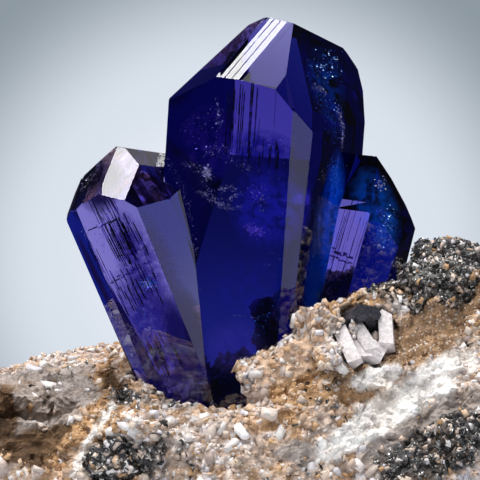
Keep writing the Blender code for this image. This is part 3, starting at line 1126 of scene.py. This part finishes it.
@dataclass
class Needles:
    """The dark blades, sheaves and cracks that show against the bright windows."""

    main: tuple[tuple[float, ...], ...] = (
        (-2.2, -6.2, 11.0, 18.4, 0.16), (-1.62, -6.3, 11.4, 18.0, 0.09), (-4.15, -5.9, 11.8, 17.6, 0.07),
        (-3.2, -6.1, 11.4, 17.8, 0.05), (-1.2, -6.4, 11.6, 14.8, 0.03), (0.4, -6.6, 14.0, 17.8, 0.03),
    )
    left: tuple[tuple[float, ...], ...] = (
        (-1.0, -2.3, 5.6, 9.7, 0.06), (-0.72, -2.4, 6.0, 9.9, 0.10), (0.3, -2.7, 5.6, 9.4, 0.05),
        (0.75, -2.8, 5.2, 9.6, 0.08), (1.05, -2.9, 5.8, 9.6, 0.12), (-1.15, -2.3, 10.2, 12.6, 0.05),
        (-0.75, -2.4, 10.2, 12.4, 0.08), (-2.9, -0.7, -8.0, -4.0, 0.05), (-2.2, -1.0, -7.0, -3.9, 0.04),
    )
    right: tuple[tuple[float, ...], ...] = (
        (-2.2, 0.7, -1.0, 5.4, 0.06), (-2.45, 0.3, -6.0, -1.6, 0.07), (-1.6, 0.4, 0.6, 5.0, 0.03),
        (-1.2, -0.2, -5.0, -2.0, 0.03),
    )
    sheaves: tuple[Streaks, ...] = (
        Streaks(MAIN, (-4.7, -2.9), (-5.7, -5.9), (10.4, 18.2), 16),
        Streaks(MAIN, (-2.9, 2.6), (-5.9, -6.6), (9.4, 12.4), 22, (0.02, 0.10), (0.2, 0.7)),
        Streaks(LEFT, (-1.3, 2.3), (-2.1, -3.3), (4.6, 9.9), 34, (0.02, 0.09), (0.3, 0.9)),
        Streaks(LEFT, (-1.6, 1.6), (-2.4, -3.4), (9.4, 12.2), 16, (0.02, 0.08), (0.2, 0.7)),
        Streaks(LEFT, (-3.2, 2.4), (-1.2, -3.2), (-1.0, 5.2), 30, (0.02, 0.09), (0.15, 0.5)),
        Streaks(LEFT, (-2.6, 0.4), (-0.8, -2.0), (-8.4, -3.4), 34, (0.02, 0.10), (0.2, 0.8)),
        Streaks(LEFT, (-3.3, -2.4), (-1.1, -1.5), (3.0, 8.8), 10, (0.02, 0.06), (0.3, 0.6)),
        Streaks(RIGHT, (-3.0, 0.0), (1.1, 0.1), (-6.4, 5.2), 14, (0.01, 0.04), (0.2, 0.6)),
    )
    cracks: tuple[Crack, ...] = (
        Crack(LEFT, -2.6, 1.2, -2.2, 9.95, 9.55, 0.07), Crack(LEFT, -0.9, 2.4, -2.6, 5.9, 5.5, 0.05),
        Crack(LEFT, -3.0, 1.6, -2.0, 3.7, 3.9, 0.05), Crack(RIGHT, -3.0, -0.5, 0.4, -0.9, -1.3, 0.12),
        Crack(RIGHT, -3.0, -0.4, 0.5, -1.5, -1.9, 0.06),
    )
    seed: int = 23

    def build(self) -> None:
        """Makes the piece of needles, sheaves and cracks."""
        random = np.random.default_rng(self.seed)
        tables = ((MAIN, self.main), (LEFT, self.left), (RIGHT, self.right))
        needles = [Needle(growth, *row) for growth, rows in tables for row in rows]
        for sheaf in self.sheaves:
            needles.extend(sheaf.blades(random))
        boxes = [needle.corners(random) for needle in needles]
        for crack in self.cracks:
            boxes.extend(crack.blades(random))
        points = np.concatenate(boxes)
        starts = np.arange(len(boxes))[:, None, None] * len(BOX_CORNERS)
        faces = (starts + BOX_FACES).reshape(-1, 4)
        piece = new_piece("dark_needles", array_mesh("dark_needles", points, [faces]))
        piece.data.materials.append(self.material())
        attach(piece, "root")

    @staticmethod
    def material() -> bpy.types.Material:
        """Makes the needles' material, which lets some violet light through in places."""
        shader = Shader("dark_needle")
        place = shader.node("TexCoord").outputs["Object"]
        dark = shader.node("BsdfPrincipled", {"Base Color": (0.012, 0.008, 0.045, 1), "Roughness": 0.45})
        tinted = shader.node("BsdfTransparent", {"Color": (0.62, 0.52, 0.80, 1)})
        solid = shader.span(shader.noise(place, 1 / (0.9 * MM), 2), 0.42, 0.58, 0.08, 0.75)
        return shader.surface(shader.node("MixShader", {0: solid, 1: tinted.outputs[0], 2: dark.outputs[0]}))


# The rock


class Mineral(Enum):
    """What the rock is made of, place by place, with its colour; two of the colours are darkened into painted
    shade.
    """

    PALE = (0.74, 0.67, 0.64)
    # Grey-brown mineral, its tone darkened as painted shade for the lump at the left, which lies in shadow.
    CHALK = (0.34, 0.29, 0.26)
    MILK = (0.84, 0.80, 0.76)
    PEACH = (0.62, 0.43, 0.30)
    OCHRE = (0.44, 0.26, 0.13)
    # Near-black brown: a brown stain darkened into painted shade, for the recess at the left and the
    # underside of the slab at the right.
    SAND = (0.38, 0.24, 0.14)
    UMBER = (0.09, 0.05, 0.025)
    GRAPHITE = (0.07, 0.068, 0.07)


MINERALS = list(Mineral)


@dataclass(frozen=True)
class Patch:
    """An oval patch of one mineral: its centre and half sizes in millimetres as the camera sees them.

    It ends at the outer share of its half sizes, fades over the border, and noise moves both by a share.
    """

    mineral: Mineral
    across: float
    up: float
    half_wide: float
    half_high: float
    turn: float = 0.0
    outer: float = 1.12
    border: float = 0.24
    ragged: float = 0.22

    def cover(self, across: np.ndarray, up: np.ndarray, noise: np.ndarray) -> np.ndarray:
        """How much of each place the patch covers, from 0 to 1, with a ragged border.

        Args:
            across: how far right each place is, in metres.
            up: how far up each place is, in metres.
            noise: what moves the border.

        Returns:
            The cover at each place.
        """
        turn = math.radians(self.turn)
        right, high = across / MM - self.across, up / MM - self.up
        along = (right * math.cos(turn) + high * math.sin(turn)) / self.half_wide
        over = (high * math.cos(turn) - right * math.sin(turn)) / self.half_high
        reach = np.sqrt(along**2 + over**2) + self.ragged * noise
        return np.clip((self.outer - reach) / self.border, 0, 1)


# Most patches are stains; the near-black brown and dark grey ones are painted shade in the recesses, under
# the slab and on the shadowed lump.
PATCHES = (
    # Painted shade: the dark grey over the lump at the left, in its own shadow.
    Patch(Mineral.CHALK, -21.5, -16.2, 9.0, 5.2),
    Patch(Mineral.UMBER, -20.5, -22.6, 6.0, 2.2, 8),
    Patch(Mineral.UMBER, -26.0, -19.0, 1.6, 3.0),
    Patch(Mineral.OCHRE, -13.6, -14.0, 2.2, 3.4, -20),
    Patch(Mineral.UMBER, -14.0, -16.6, 1.3, 4.2, -12),
    Patch(Mineral.PEACH, -12.2, -15.5, 1.3, 3.2, 16),
    Patch(Mineral.OCHRE, -17.2, -21.3, 7.6, 1.5, 51),
    Patch(Mineral.PEACH, -18.3, -24.5, 4.0, 1.2, 40),
    Patch(Mineral.MILK, -16.3, -22.4, 5.6, 0.85, 62),
    Patch(Mineral.OCHRE, -14.6, -21.2, 3.4, 0.8, 55),
    Patch(Mineral.GRAPHITE, -12.6, -17.2, 2.0, 0.9, -10),
    Patch(Mineral.GRAPHITE, -12.8, -24.4, 3.6, 2.3, 12),
    Patch(Mineral.PEACH, -3.5, -18.7, 2.4, 0.8, 5),
    Patch(Mineral.PEACH, 1.2, -20.0, 2.2, 1.3, -25),
    Patch(Mineral.PEACH, 6.2, -12.4, 5.2, 4.6, 35),
    Patch(Mineral.PALE, 4.6, -10.2, 2.6, 1.3, 30),
    Patch(Mineral.OCHRE, 7.4, -16.0, 4.0, 1.6, 20),
    Patch(Mineral.OCHRE, 9.6, -13.2, 1.8, 0.9),
    # Painted shade under the brown slab.
    Patch(Mineral.UMBER, 11.6, -14.6, 2.2, 0.9, 45),
    Patch(Mineral.PALE, 11.4, -11.6, 2.6, 2.2, 35),
    Patch(Mineral.OCHRE, 15.2, -5.8, 3.4, 1.3, 20),
    Patch(Mineral.GRAPHITE, 20.5, -3.0, 7.5, 3.6, 10),
    Patch(Mineral.OCHRE, 23.0, -5.6, 5.0, 1.6, 12),
    Patch(Mineral.SAND, 19.4, -10.6, 9.8, 2.9, 33),
    Patch(Mineral.OCHRE, 13.4, -16.4, 5.4, 1.3, 14),
    Patch(Mineral.MILK, 15.2, -15.0, 3.2, 1.3, 18),
    Patch(Mineral.MILK, 17.8, -17.8, 11.0, 2.0, 33),
    Patch(Mineral.CHALK, 20.5, -20.6, 9.0, 1.8, 30),
    Patch(Mineral.GRAPHITE, 21.5, -23.6, 8.0, 3.0, 30),
    Patch(Mineral.OCHRE, 4.8, -19.8, 2.8, 1.0, 20),
    Patch(Mineral.CHALK, 6.5, -23.4, 2.0, 1.3, -20),
)


@dataclass
class Matrix:
    """The broken rock that the crystals grew on, carved by noise, and stained and given painted shade patch
    by patch.

    A stain is a mineral, the size of its clouds in millimetres, its seed, and the least noise that shows it.
    A shard's mineral is picked by the shard's own number, where that lies between two values.
    """

    pitch: float = 0.38 * MM
    chip: float = 2.7 * MM
    chip_depth: float = 0.50 * MM
    shard: float = 1.1 * MM
    shard_depth: float = 0.30 * MM
    crumb: float = 0.8 * MM
    crumb_depth: float = 0.14 * MM
    flat_foot: float = 0.8 * MM
    seen_depth: float = 9 * MM
    stains: tuple[tuple[Mineral, float, int, float], ...] = (
        (Mineral.OCHRE, 9, 71, 0.25), (Mineral.CHALK, 8, 72, 0.3), (Mineral.GRAPHITE, 7, 73, 0.45),
        (Mineral.PEACH, 6, 74, 0.35),
    )
    shard_minerals: tuple[tuple[Mineral, float, float], ...] = (
        (Mineral.PEACH, 0.35, 0.75), (Mineral.CHALK, 0.75, 1.0), (Mineral.OCHRE, -1.0, -0.75),
    )
    dirt: float = 0.35
    finish: GrainFinish = GrainFinish("rock", roughness=0.78, grain=0.24 * MM, depth=0.12 * MM, uneven=0.36)
    piece: bpy.types.Object = field(init=False)
    points: np.ndarray = field(init=False)
    normals: np.ndarray = field(init=False)
    shares: np.ndarray = field(init=False)

    def build(self) -> None:
        """Makes the rock's piece: each point moves out along its own direction by the relief there."""
        piece = merged_copy("matrix_rock", "rock")
        remesh = piece.modifiers.new("fine", "REMESH")
        remesh.mode = "VOXEL"
        remesh.voxel_size = self.pitch
        bake_modifiers(piece)
        mesh = piece.data
        points = rows_of(mesh.vertices, "co")
        points = points + rows_of(mesh.vertices, "normal") * self.relief(points)[:, None]
        points[:, 2] = np.maximum(points[:, 2], 0)
        mesh.vertices.foreach_set("co", points.astype(np.float32).ravel())
        mesh.update()
        self.shares = self.mineral_shares(points)
        tone = self.shares @ np.array([mineral.value for mineral in MINERALS])
        own, _ = broken_cells(points, self.shard, 15)
        tone = tone * (1 + 0.24 * own + 0.12 * layered_noise(points, 2 * MM, 41))[:, None]
        dirt = np.clip(layered_noise(points, 5 * MM, 51), 0, 1) * self.dirt
        tone = tone * (1 - dirt)[:, None] + np.array(Mineral.OCHRE.value) * dirt[:, None]
        point_colours(mesh, "tone", np.clip(tone, 0.01, 1))
        mesh.materials.clear()
        mesh.materials.append(self.finish.material())
        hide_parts("matrix_rock")
        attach(piece, "root")
        self.points, self.normals, self.piece = points, rows_of(mesh.vertices, "normal"), piece

    def relief(self, points: np.ndarray) -> np.ndarray:
        """How far out the surface moves: leaning plates of two sizes, and soft crumbs.

        Args:
            points: the smooth rock's points.

        Returns:
            The height at each point, which fades out towards the foot.
        """
        own, plate = broken_cells(points, self.chip, 5)
        chips = self.chip_depth * (0.35 * own + 1.3 * plate - 0.35)
        own, plate = broken_cells(points, self.shard, 15)
        shards = self.shard_depth * (0.5 * own + 1.5 * plate)
        crumbs = self.crumb_depth * layered_noise(points, self.crumb, 9, 2)
        steady = np.clip(points[:, 2] / self.flat_foot, 0, 1)
        return (chips + shards + crumbs) * steady

    def mineral_shares(self, points: np.ndarray) -> np.ndarray:
        """How much of each mineral is at each point.

        Args:
            points: the rock's points.

        Returns:
            One row for each point, with one share for each mineral, that add up to 1.
        """
        across, up = picture_place(points)
        ragged = layered_noise(points, 1.6 * MM, 61, 3)
        shares = np.zeros((len(points), len(MINERALS)))
        shares[:, MINERALS.index(Mineral.PALE)] = 1
        behind = np.clip((points[:, 1] - self.seen_depth) / (2 * MM) + 0.5 * ragged, 0, 1)
        for mineral, size, seed, least in self.stains:
            cover = np.clip((layered_noise(points, size * MM, seed, 3) - least) / 0.2, 0, 1)
            shares = self.lay(shares, mineral, cover * np.maximum(behind, 0.55))
        bent = points + layered_noise(points, 0.8 * MM, 63, 2)[:, None] * 0.3 * MM
        own, _ = broken_cells(bent, self.shard, 19)
        for mineral, low, high in self.shard_minerals:
            shares = self.lay(shares, mineral, 0.8 * ((own > low) & (own < high)))
        for patch in PATCHES:
            shares = self.lay(shares, patch.mineral, patch.cover(across, up, ragged) * (1 - behind))
        return shares

    @staticmethod
    def lay(shares: np.ndarray, mineral: Mineral, cover: np.ndarray) -> np.ndarray:
        """Lays a mineral over what is there.

        Args:
            shares: the shares so far.
            mineral: the mineral on top.
            cover: how much of each point it covers.

        Returns:
            The new shares.
        """
        shares = shares * (1 - cover)[:, None]
        shares[:, MINERALS.index(mineral)] += cover
        return shares


class Shape(Enum):
    """The plain form that a kind of grain is varied from."""

    LATH = "lath"
    FLAKE = "flake"
    CHUNK = "chunk"


def grain_form(shape: Shape) -> tuple[np.ndarray, list[np.ndarray]]:
    """The points and faces of a grain that reaches from -1 to 1 along each axis.

    Args:
        shape: the form.

    Returns:
        The points, and arrays of faces.
    """
    if shape is Shape.FLAKE:
        turns = np.arange(6) * math.pi / 3
        ring = np.stack([np.cos(turns), np.sin(turns)], axis=1)
        points = np.concatenate([np.column_stack([ring, np.full(6, level)]) for level in (-1.0, 1.0)])
        numbers = np.arange(6)
        sides = np.stack([numbers, (numbers + 1) % 6, (numbers + 1) % 6 + 6, numbers + 6], axis=1)
        return points, [numbers[::-1][None, :], numbers[None, :] + 6, sides]
    if shape is Shape.CHUNK:
        return BOX_CORNERS, [BOX_FACES]
    points = np.concatenate([BOX_CORNERS * (0.72, 1, 1), [(-1, 0, 0), (1, 0, 0)]])
    ends = np.array([(8, 0, 1), (8, 1, 3), (8, 3, 2), (8, 2, 0), (9, 5, 4), (9, 7, 5), (9, 6, 7), (9, 4, 6)])
    return points, [BOX_FACES[2:], ends]


@dataclass(frozen=True)
class GrainKind:
    """One kind of loose-looking grain that grew on the rock."""

    name: str
    shape: Shape
    density: dict
    size: tuple[float, float]
    proportions: tuple[float, float, float]
    stand: float
    tones: tuple[Colour, ...]
    finish: GrainFinish
    slot: str
    seed: int
    jitter: float = 0.18


WHITE_TONES = ((0.80, 0.74, 0.71), (0.70, 0.66, 0.68), (0.66, 0.55, 0.48), (0.90, 0.86, 0.83),
               (0.46, 0.36, 0.31), (0.58, 0.44, 0.35))
TAN_TONES = ((0.66, 0.46, 0.32), (0.52, 0.32, 0.17), (0.78, 0.64, 0.52), (0.36, 0.21, 0.10),
             (0.60, 0.50, 0.42))
DARK_TONES = ((0.16, 0.155, 0.15), (0.42, 0.41, 0.40), (0.08, 0.077, 0.075), (0.66, 0.65, 0.63))

KINDS = (
    GrainKind("white_slabs", Shape.LATH, {Mineral.PALE: 0.5, Mineral.CHALK: 0.04, Mineral.PEACH: 0.22},
              (0.35, 1.35), (1.0, 0.46, 0.3), 0.28, WHITE_TONES,
              GrainFinish("white_slab", 0.36, grain=0.2 * MM, depth=0.03 * MM, uneven=0.16, sparkle=0.2),
              "white_mineral", 101, 0.2),
    GrainKind("white_chunks", Shape.CHUNK, {Mineral.PALE: 3.2, Mineral.MILK: 0.1, Mineral.CHALK: 0.12,
                                            Mineral.PEACH: 0.6, Mineral.GRAPHITE: 1.2},
              (0.08, 0.42), (1.0, 0.7, 0.45), 0.6, WHITE_TONES,
              GrainFinish("white_chunk", 0.42, grain=0.2 * MM, depth=0.02 * MM, uneven=0.2, sparkle=0.2),
              "white_mineral", 102, 0.32),
    GrainKind("tan_chunks", Shape.CHUNK, {Mineral.PEACH: 1.8, Mineral.OCHRE: 2.0, Mineral.PALE: 0.7,
                                          Mineral.GRAPHITE: 0.4, Mineral.CHALK: 0.06},
              (0.08, 0.6), (1.0, 0.65, 0.35), 0.5, TAN_TONES,
              GrainFinish("tan_chunk", 0.7, grain=0.2 * MM, depth=0.03 * MM, uneven=0.25),
              "matrix", 103, 0.32),
    GrainKind("sand_grains", Shape.CHUNK, {Mineral.SAND: 8.0, Mineral.OCHRE: 1.2},
              (0.06, 0.14), (1.0, 0.9, 0.8), 1.0, TAN_TONES,
              GrainFinish("sand_grain", 0.6, grain=0.2 * MM, depth=0.02 * MM, uneven=0.2, sparkle=0.1),
              "matrix", 104, 0.3),
    GrainKind("graphite_grains", Shape.FLAKE, {Mineral.GRAPHITE: 5.5, Mineral.PALE: 0.12, Mineral.OCHRE: 0.1,
                                               Mineral.CHALK: 0.06},
              (0.16, 0.55), (1.0, 0.8, 0.14), 0.8, DARK_TONES,
              GrainFinish("graphite_flake", 0.24, 0.8, grain=0.15 * MM, depth=0.01 * MM, uneven=0.3),
              "graphite", 105, 0.12),
)


GRAPHITE_NODES = ("graphite_flakes_right", "graphite_flakes_left")


@dataclass
class Grains:
    """Small grains of every mineral, scattered where the rock carries them."""

    rock: Matrix

    def build(self) -> None:
        """Makes one piece for each kind of grain."""
        triangles = triangles_of(self.rock.piece.data)
        corners = self.rock.points[triangles]
        _, area = triangle_sizes(corners)
        shares = self.rock.shares[triangles].mean(axis=1)
        clear = corners[:, :, 2].mean(axis=1) > 1.0 * MM
        normals = self.rock.normals[triangles].mean(axis=1)
        for name in GRAPHITE_NODES:
            more, facing, size = self.node_triangles(name)
            corners = np.concatenate([corners, more])
            normals = np.concatenate([normals, facing])
            area = np.concatenate([area, size])
            rows = np.zeros((len(more), len(MINERALS)))
            rows[:, MINERALS.index(Mineral.GRAPHITE)] = 1.6
            shares = np.concatenate([shares, rows])
            clear = np.concatenate([clear, np.ones(len(more), bool)])
        for kind in KINDS:
            density = sum(shares[:, MINERALS.index(mineral)] * most for mineral, most in kind.density.items())
            expected = area / MM**2 * density * clear
            self.scatter(kind, corners, normals, expected)

    @staticmethod
    def node_triangles(name: str) -> tuple[np.ndarray, np.ndarray, np.ndarray]:
        """The triangles of a CAD node.

        Args:
            name: the node's name.

        Returns:
            The corners' places, the directions that the triangles face, and their areas.
        """
        mesh = bpy.data.objects[name].data
        corners = rows_of(mesh.vertices, "co")[triangles_of(mesh)]
        across, area = triangle_sizes(corners)
        return corners, across / np.maximum(2 * area, 1e-15)[:, None], area

    def scatter(self, kind: GrainKind, corners: np.ndarray, normals: np.ndarray,
                expected: np.ndarray) -> None:
        """Makes the piece of one kind of grain, from copies of its form at random places on the triangles.

        Each corner is its place plus the form's corner, sized, jittered and turned into the grain's frame.

        Args:
            kind: the kind of grain.
            corners: the places of the corners of the triangles that carry grains.
            normals: the direction that each triangle faces.
            expected: how many grains each triangle should carry.
        """
        random = np.random.default_rng(kind.seed)
        count = int(expected.sum())
        chosen = random.choice(len(corners), count, p=expected / expected.sum())
        share = random.dirichlet((1, 1, 1), count)
        place = np.einsum("nk,nkj->nj", share, corners[chosen])
        normal = normals[chosen] + 1e-9
        normal /= np.linalg.norm(normal, axis=1)[:, None]
        low, high = kind.size
        size = low * (high / low) ** (random.uniform(0, 1, count) ** 1.5) * MM
        frames = self.turned_frames(normal, kind.stand, random)
        points, faces = grain_form(kind.shape)
        scaled = points[None] * (np.array(kind.proportions) * size[:, None])[:, None, :]
        scaled = scaled * (1 + random.normal(0, kind.jitter, scaled.shape))
        solid = np.einsum("npk,nkj->npj", scaled, frames)
        solid += (place - normal * (size * 0.06)[:, None])[:, None, :]
        solid[:, :, 2] = np.maximum(solid[:, :, 2], 0.05 * MM)
        starts = np.arange(count)[:, None, None] * len(points)
        rows = [(starts + part[None]).reshape(-1, part.shape[1]) for part in faces]
        piece = new_piece(kind.name, array_mesh(kind.name, solid.reshape(-1, 3), rows))
        tones = np.array(kind.tones)[random.integers(0, len(kind.tones), count)]
        tones = tones * random.uniform(0.8, 1.12, (count, 1))
        point_colours(piece.data, "tone", np.clip(np.repeat(tones, len(points), axis=0), 0, 1))
        piece.data.materials.append(kind.finish.material())
        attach(piece, "root")

    @staticmethod
    def turned_frames(normal: np.ndarray, stand: float, random: np.random.Generator) -> np.ndarray:
        """Frames for grains: each lies along the surface, tipped by a random share of how much it stands.

        Args:
            normal: the surface's direction at each grain.
            stand: how far a grain may tip, from 0, flat, to 1, upright.
            random: the random numbers.

        Returns:
            For each grain, three rows: its long, wide and thin directions.
        """
        count = len(normal)
        side = np.cross(normal, random.normal(0, 1, (count, 3)))
        side /= np.linalg.norm(side, axis=1)[:, None]
        tip = random.uniform(-1, 1, (count, 1)) * stand * math.pi / 2
        long = side * np.cos(tip) + normal * np.sin(tip)
        roll = random.uniform(-1, 1, (count, 1)) * stand * math.pi / 2
        over = np.cross(normal, side)
        thin = np.cross(long, over)
        wide = over * np.cos(roll) + thin * np.sin(roll)
        return np.stack([long, wide, np.cross(long, wide)], axis=1)


@dataclass
class LooseParts:
    """The larger blades and plates, which keep their CAD shapes and get their own minerals' surfaces."""

    tones: dict[str, tuple[Colour, GrainFinish]] = field(default_factory=lambda: {
        "white_blades": ((0.72, 0.66, 0.65), GrainFinish(
            "white_blade", 0.3, grain=0.3 * MM, depth=0.05 * MM, uneven=0.3, sparkle=0.3)),
        "graphite_plate": ((0.10, 0.10, 0.12), GrainFinish(
            "graphite_plate", 0.22, 0.7, grain=0.25 * MM, depth=0.02 * MM, uneven=0.35)),
        "graphite_flakes_right": ((0.20, 0.19, 0.18), GrainFinish(
            "graphite_right", 0.34, 0.5, grain=0.22 * MM, depth=0.05 * MM, uneven=0.5)),
        "graphite_flakes_left": ((0.16, 0.16, 0.17), GrainFinish(
            "graphite_left", 0.3, 0.6, grain=0.22 * MM, depth=0.05 * MM, uneven=0.5)),
    })

    def dress(self) -> None:
        """Gives each CAD node its material."""
        for name, (tone, finish) in self.tones.items():
            material = finish.material(tone)
            for slot in bpy.data.objects[name].material_slots:
                slot.material = material


# The studio


@dataclass
class Studio:
    """The camera, the stage and the lights."""

    height: float = 0.5
    aim: float = 0.045
    bend_start: float = 0.12
    bend: float = 0.35
    half_wide: float = 0.8
    top: float = 0.8
    horizon: float = 0.0695
    glow_rise: float = 0.092
    # Painted blue glow: the colour that the backdrop's glow fades to for every ray but the camera's, and that
    # the room shows through the crystals.
    inside: Colour = (0.012, 0.035, 0.30)

    def build(self) -> None:
        """Builds the whole studio."""
        self.camera()
        self.stage()
        self.lights()
        self.world()

    def camera(self) -> None:
        """Looks at the specimen from the front, five degrees above level."""
        lean = math.radians(ELEVATION)
        away = Vector((0, -math.cos(lean), math.sin(lean)))
        data = bpy.data.cameras.new("camera")
        data.sensor_width = 36.0
        data.lens = LENS
        data.clip_start = 0.01
        camera = bpy.data.objects.new("camera", data)
        camera.location = Vector(TARGET) + away * DISTANCE
        camera.rotation_euler = away.to_track_quat("Z", "Y").to_euler()
        bpy.context.scene.collection.objects.link(camera)
        bpy.context.scene.camera = camera

    def lamp(self, name: str, place: tuple[float, float, float], size: tuple[float, float],
             radiance: float, colour: Colour = (1, 1, 1)) -> bpy.types.Object:
        """Adds a soft box, which shines straight down until it is turned.

        Args:
            name: the light's name.
            place: its centre.
            size: its width and height, in metres.
            radiance: how bright it looks.
            colour: its colour.

        Returns:
            The light.
        """
        light = bpy.data.lights.new(name, "AREA")
        light.shape = "RECTANGLE"
        light.size, light.size_y = size
        light.energy = radiance * math.pi * size[0] * size[1]
        light.color = colour
        lamp = bpy.data.objects.new(name, light)
        lamp.location = place
        lamp.visible_camera = False
        bpy.context.scene.collection.objects.link(lamp)
        return lamp

    def lights(self) -> None:
        """Places the soft boxes so that each crystal face mirrors what it does in the photograph.

        The two fills light the rock alone: the crystals neither mirror them nor pass them on.
        """
        high, level = self.height, self.aim + self.height
        self.lamp("top_white", (-0.035 * high, 0.0, level), (0.25 * high, 0.84 * high), 9.5)
        self.lamp("top_grey", (0.28 * high, 0.1 * high, level), (0.34 * high, 0.5 * high), 1.15)
        self.aimed("right_grey", (0.71, -0.70, 0.0), 0.26, (0.21, 0.15), 0.72)
        for name, way, size, radiance in (("rock_top", (-0.25, -0.1, 1.0), 0.4, 6.0),
                                          ("rock_front", (-0.35, -0.75, 0.62), 0.3, 2.3)):
            fill = self.aimed(name, way, 0.5, (size, size), radiance)
            fill.visible_glossy = False
            fill.visible_transmission = False

    def aimed(self, name: str, way: tuple[float, float, float], away: float, size: tuple[float, float],
              radiance: float) -> bpy.types.Object:
        """Adds a soft box that faces the crystals.

        Args:
            name: the light's name.
            way: the direction from the crystals to it.
            away: how far away it is.
            size: its width and height, in metres.
            radiance: how bright it looks.

        Returns:
            The light.
        """
        unit = Vector(way).normalized()
        lamp = self.lamp(name, tuple(Vector((0, 0, self.aim)) + unit * away), size, radiance)
        lamp.rotation_euler = unit.to_track_quat("Z", "Y").to_euler()
        return lamp

    def stage(self) -> None:
        """Adds the floor, which curves up into the backdrop: a profile of depths and heights, carried across.

        The bend is a quarter circle, from level to upright.
        """
        flat = [(-0.5, 0.0), (-0.2, 0.0), (0.0, 0.0), (self.bend_start, 0.0)]
        turns = np.linspace(0, math.pi / 2, 25)[1:]
        depths = self.bend_start + self.bend * np.sin(turns)
        bend = np.stack([depths, self.bend - self.bend * np.cos(turns)], axis=1)
        profile = np.concatenate([flat, bend, [(self.bend_start + self.bend, self.top)]])
        columns = np.linspace(-self.half_wide, self.half_wide, 17)
        rows, wide = len(profile), len(columns)
        points = np.column_stack([np.tile(columns, rows), np.repeat(profile, wide, axis=0)])
        first = (np.arange(rows - 1)[:, None] * wide + np.arange(wide - 1)[None]).ravel()
        faces = np.stack([first, first + 1, first + wide + 1, first + wide], axis=1)
        floor = new_piece("floor", array_mesh("floor", points, [faces]))
        floor.data.polygons.foreach_set("use_smooth", np.ones(len(faces), bool))
        floor.data.materials.append(self.stage_material())
        floor.visible_glossy = False

    def stage_material(self) -> bpy.types.Material:
        """Makes the stage's surface: a pale floor that turns, behind the specimen, into a soft glow."""
        shader = Shader("stage")
        place = shader.node("TexCoord").outputs["Object"]
        apart = shader.node("SeparateXYZ", {0: place})
        depth = shader.math("ADD", apart.outputs[1], DISTANCE)
        right = shader.math("DIVIDE", apart.outputs[0], depth)
        drop = shader.math("DIVIDE", shader.math("SUBTRACT", apart.outputs[2], self.horizon), depth)
        up = shader.math("ADD", drop, self.glow_rise)
        away = shader.node("CombineXYZ", {0: shader.math("MULTIPLY", right, 0.95), 1: up})
        reach = shader.node("VectorMath", {0: away.outputs[0]}, operation="LENGTH").outputs["Value"]
        reach = shader.math("MULTIPLY", reach, 5.0)
        seen = self.glow_ramp(shader, reach, (0.25, 0.29, 0.33))
        inside = self.glow_ramp(shader, reach, self.inside)
        path = shader.node("LightPath").outputs
        glow = shader.node("Emission", {"Color": shader.blend(path["Is Camera Ray"], inside, seen)})
        plain = shader.node("BsdfDiffuse", {"Color": (0.66, 0.69, 0.74, 1)})
        behind = shader.span(apart.outputs[1], 0.03, 0.14, 0.0, 1.0)
        behind = shader.math("MAXIMUM", behind, path["Is Transmission Ray"])
        front = shader.node("MixShader", {0: behind, 1: plain.outputs[0], 2: glow.outputs[0]})
        rear = shader.node("NewGeometry").outputs["Backfacing"]
        open_rear = shader.math("MULTIPLY", rear, shader.math("GREATER_THAN", apart.outputs[2], 0.002))
        clear = shader.node("BsdfTransparent").outputs[0]
        return shader.surface(shader.node("MixShader", {0: open_rear, 1: front.outputs[0], 2: clear}))

    @staticmethod
    def glow_ramp(shader: Shader, reach: bpy.types.NodeSocket, far: Colour) -> bpy.types.NodeSocket:
        """Adds the colours of the backdrop's glow.

        Args:
            shader: the material.
            reach: how far each place is from the glow's middle.
            far: the colour furthest from it.

        Returns:
            The colour.
        """
        stops = ((0.08, (0.88, 0.91, 1.0)), (0.25, (0.70, 0.76, 0.84)), (0.46, (0.27, 0.32, 0.36)),
                 (0.75, far))
        return shader.ramp(reach, stops, "EASE")

    def world(self) -> None:
        """Makes the room dim for reflections, pale where the camera sees it, and a painted blue glow where it
        is seen through the crystals.
        """
        world = bpy.data.worlds.new("room")
        world.use_nodes = True
        tree = world.node_tree
        tree.nodes.clear()
        out = tree.nodes.new("ShaderNodeOutputWorld")
        path = tree.nodes.new("ShaderNodeLightPath")
        looks = (
            ("Is Camera Ray", (0.62, 0.68, 0.76), 1.0),
            ("Is Diffuse Ray", (0.5, 0.55, 0.62), 0.3),
            ("Is Transmission Ray", self.inside, 1.0),
        )
        last = tree.nodes.new("ShaderNodeBackground")
        last.inputs["Color"].default_value = (0.02, 0.02, 0.03, 1)
        for ray, colour, strength in looks:
            glow = tree.nodes.new("ShaderNodeBackground")
            glow.inputs["Color"].default_value = (*colour, 1)
            glow.inputs["Strength"].default_value = strength
            mix = tree.nodes.new("ShaderNodeMixShader")
            tree.links.new(path.outputs[ray], mix.inputs[0])
            tree.links.new(last.outputs[0], mix.inputs[1])
            tree.links.new(glow.outputs[0], mix.inputs[2])
            last = mix
        tree.links.new(last.outputs[0], out.inputs[0])
        bpy.context.scene.world = world
        bpy.context.scene.view_settings.view_transform = "Standard"


def main() -> None:
    """Builds the specimen piece by piece."""
    logging.basicConfig(level=logging.INFO, format="%(message)s")
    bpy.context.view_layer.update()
    Studio().build()
    Crystals().build()
    Inclusions().build()
    for haze in HAZES:
        haze.build()
    Needles().build()
    rock = Matrix()
    rock.build()
    Grains(rock).build()
    LooseParts().dress()
    for piece in bpy.data.objects:
        if piece.type == "MESH":
            LOG.info("%s: %d faces", piece.name, len(piece.data.polygons))
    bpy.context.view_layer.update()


if __name__ == "__main__":
    main()
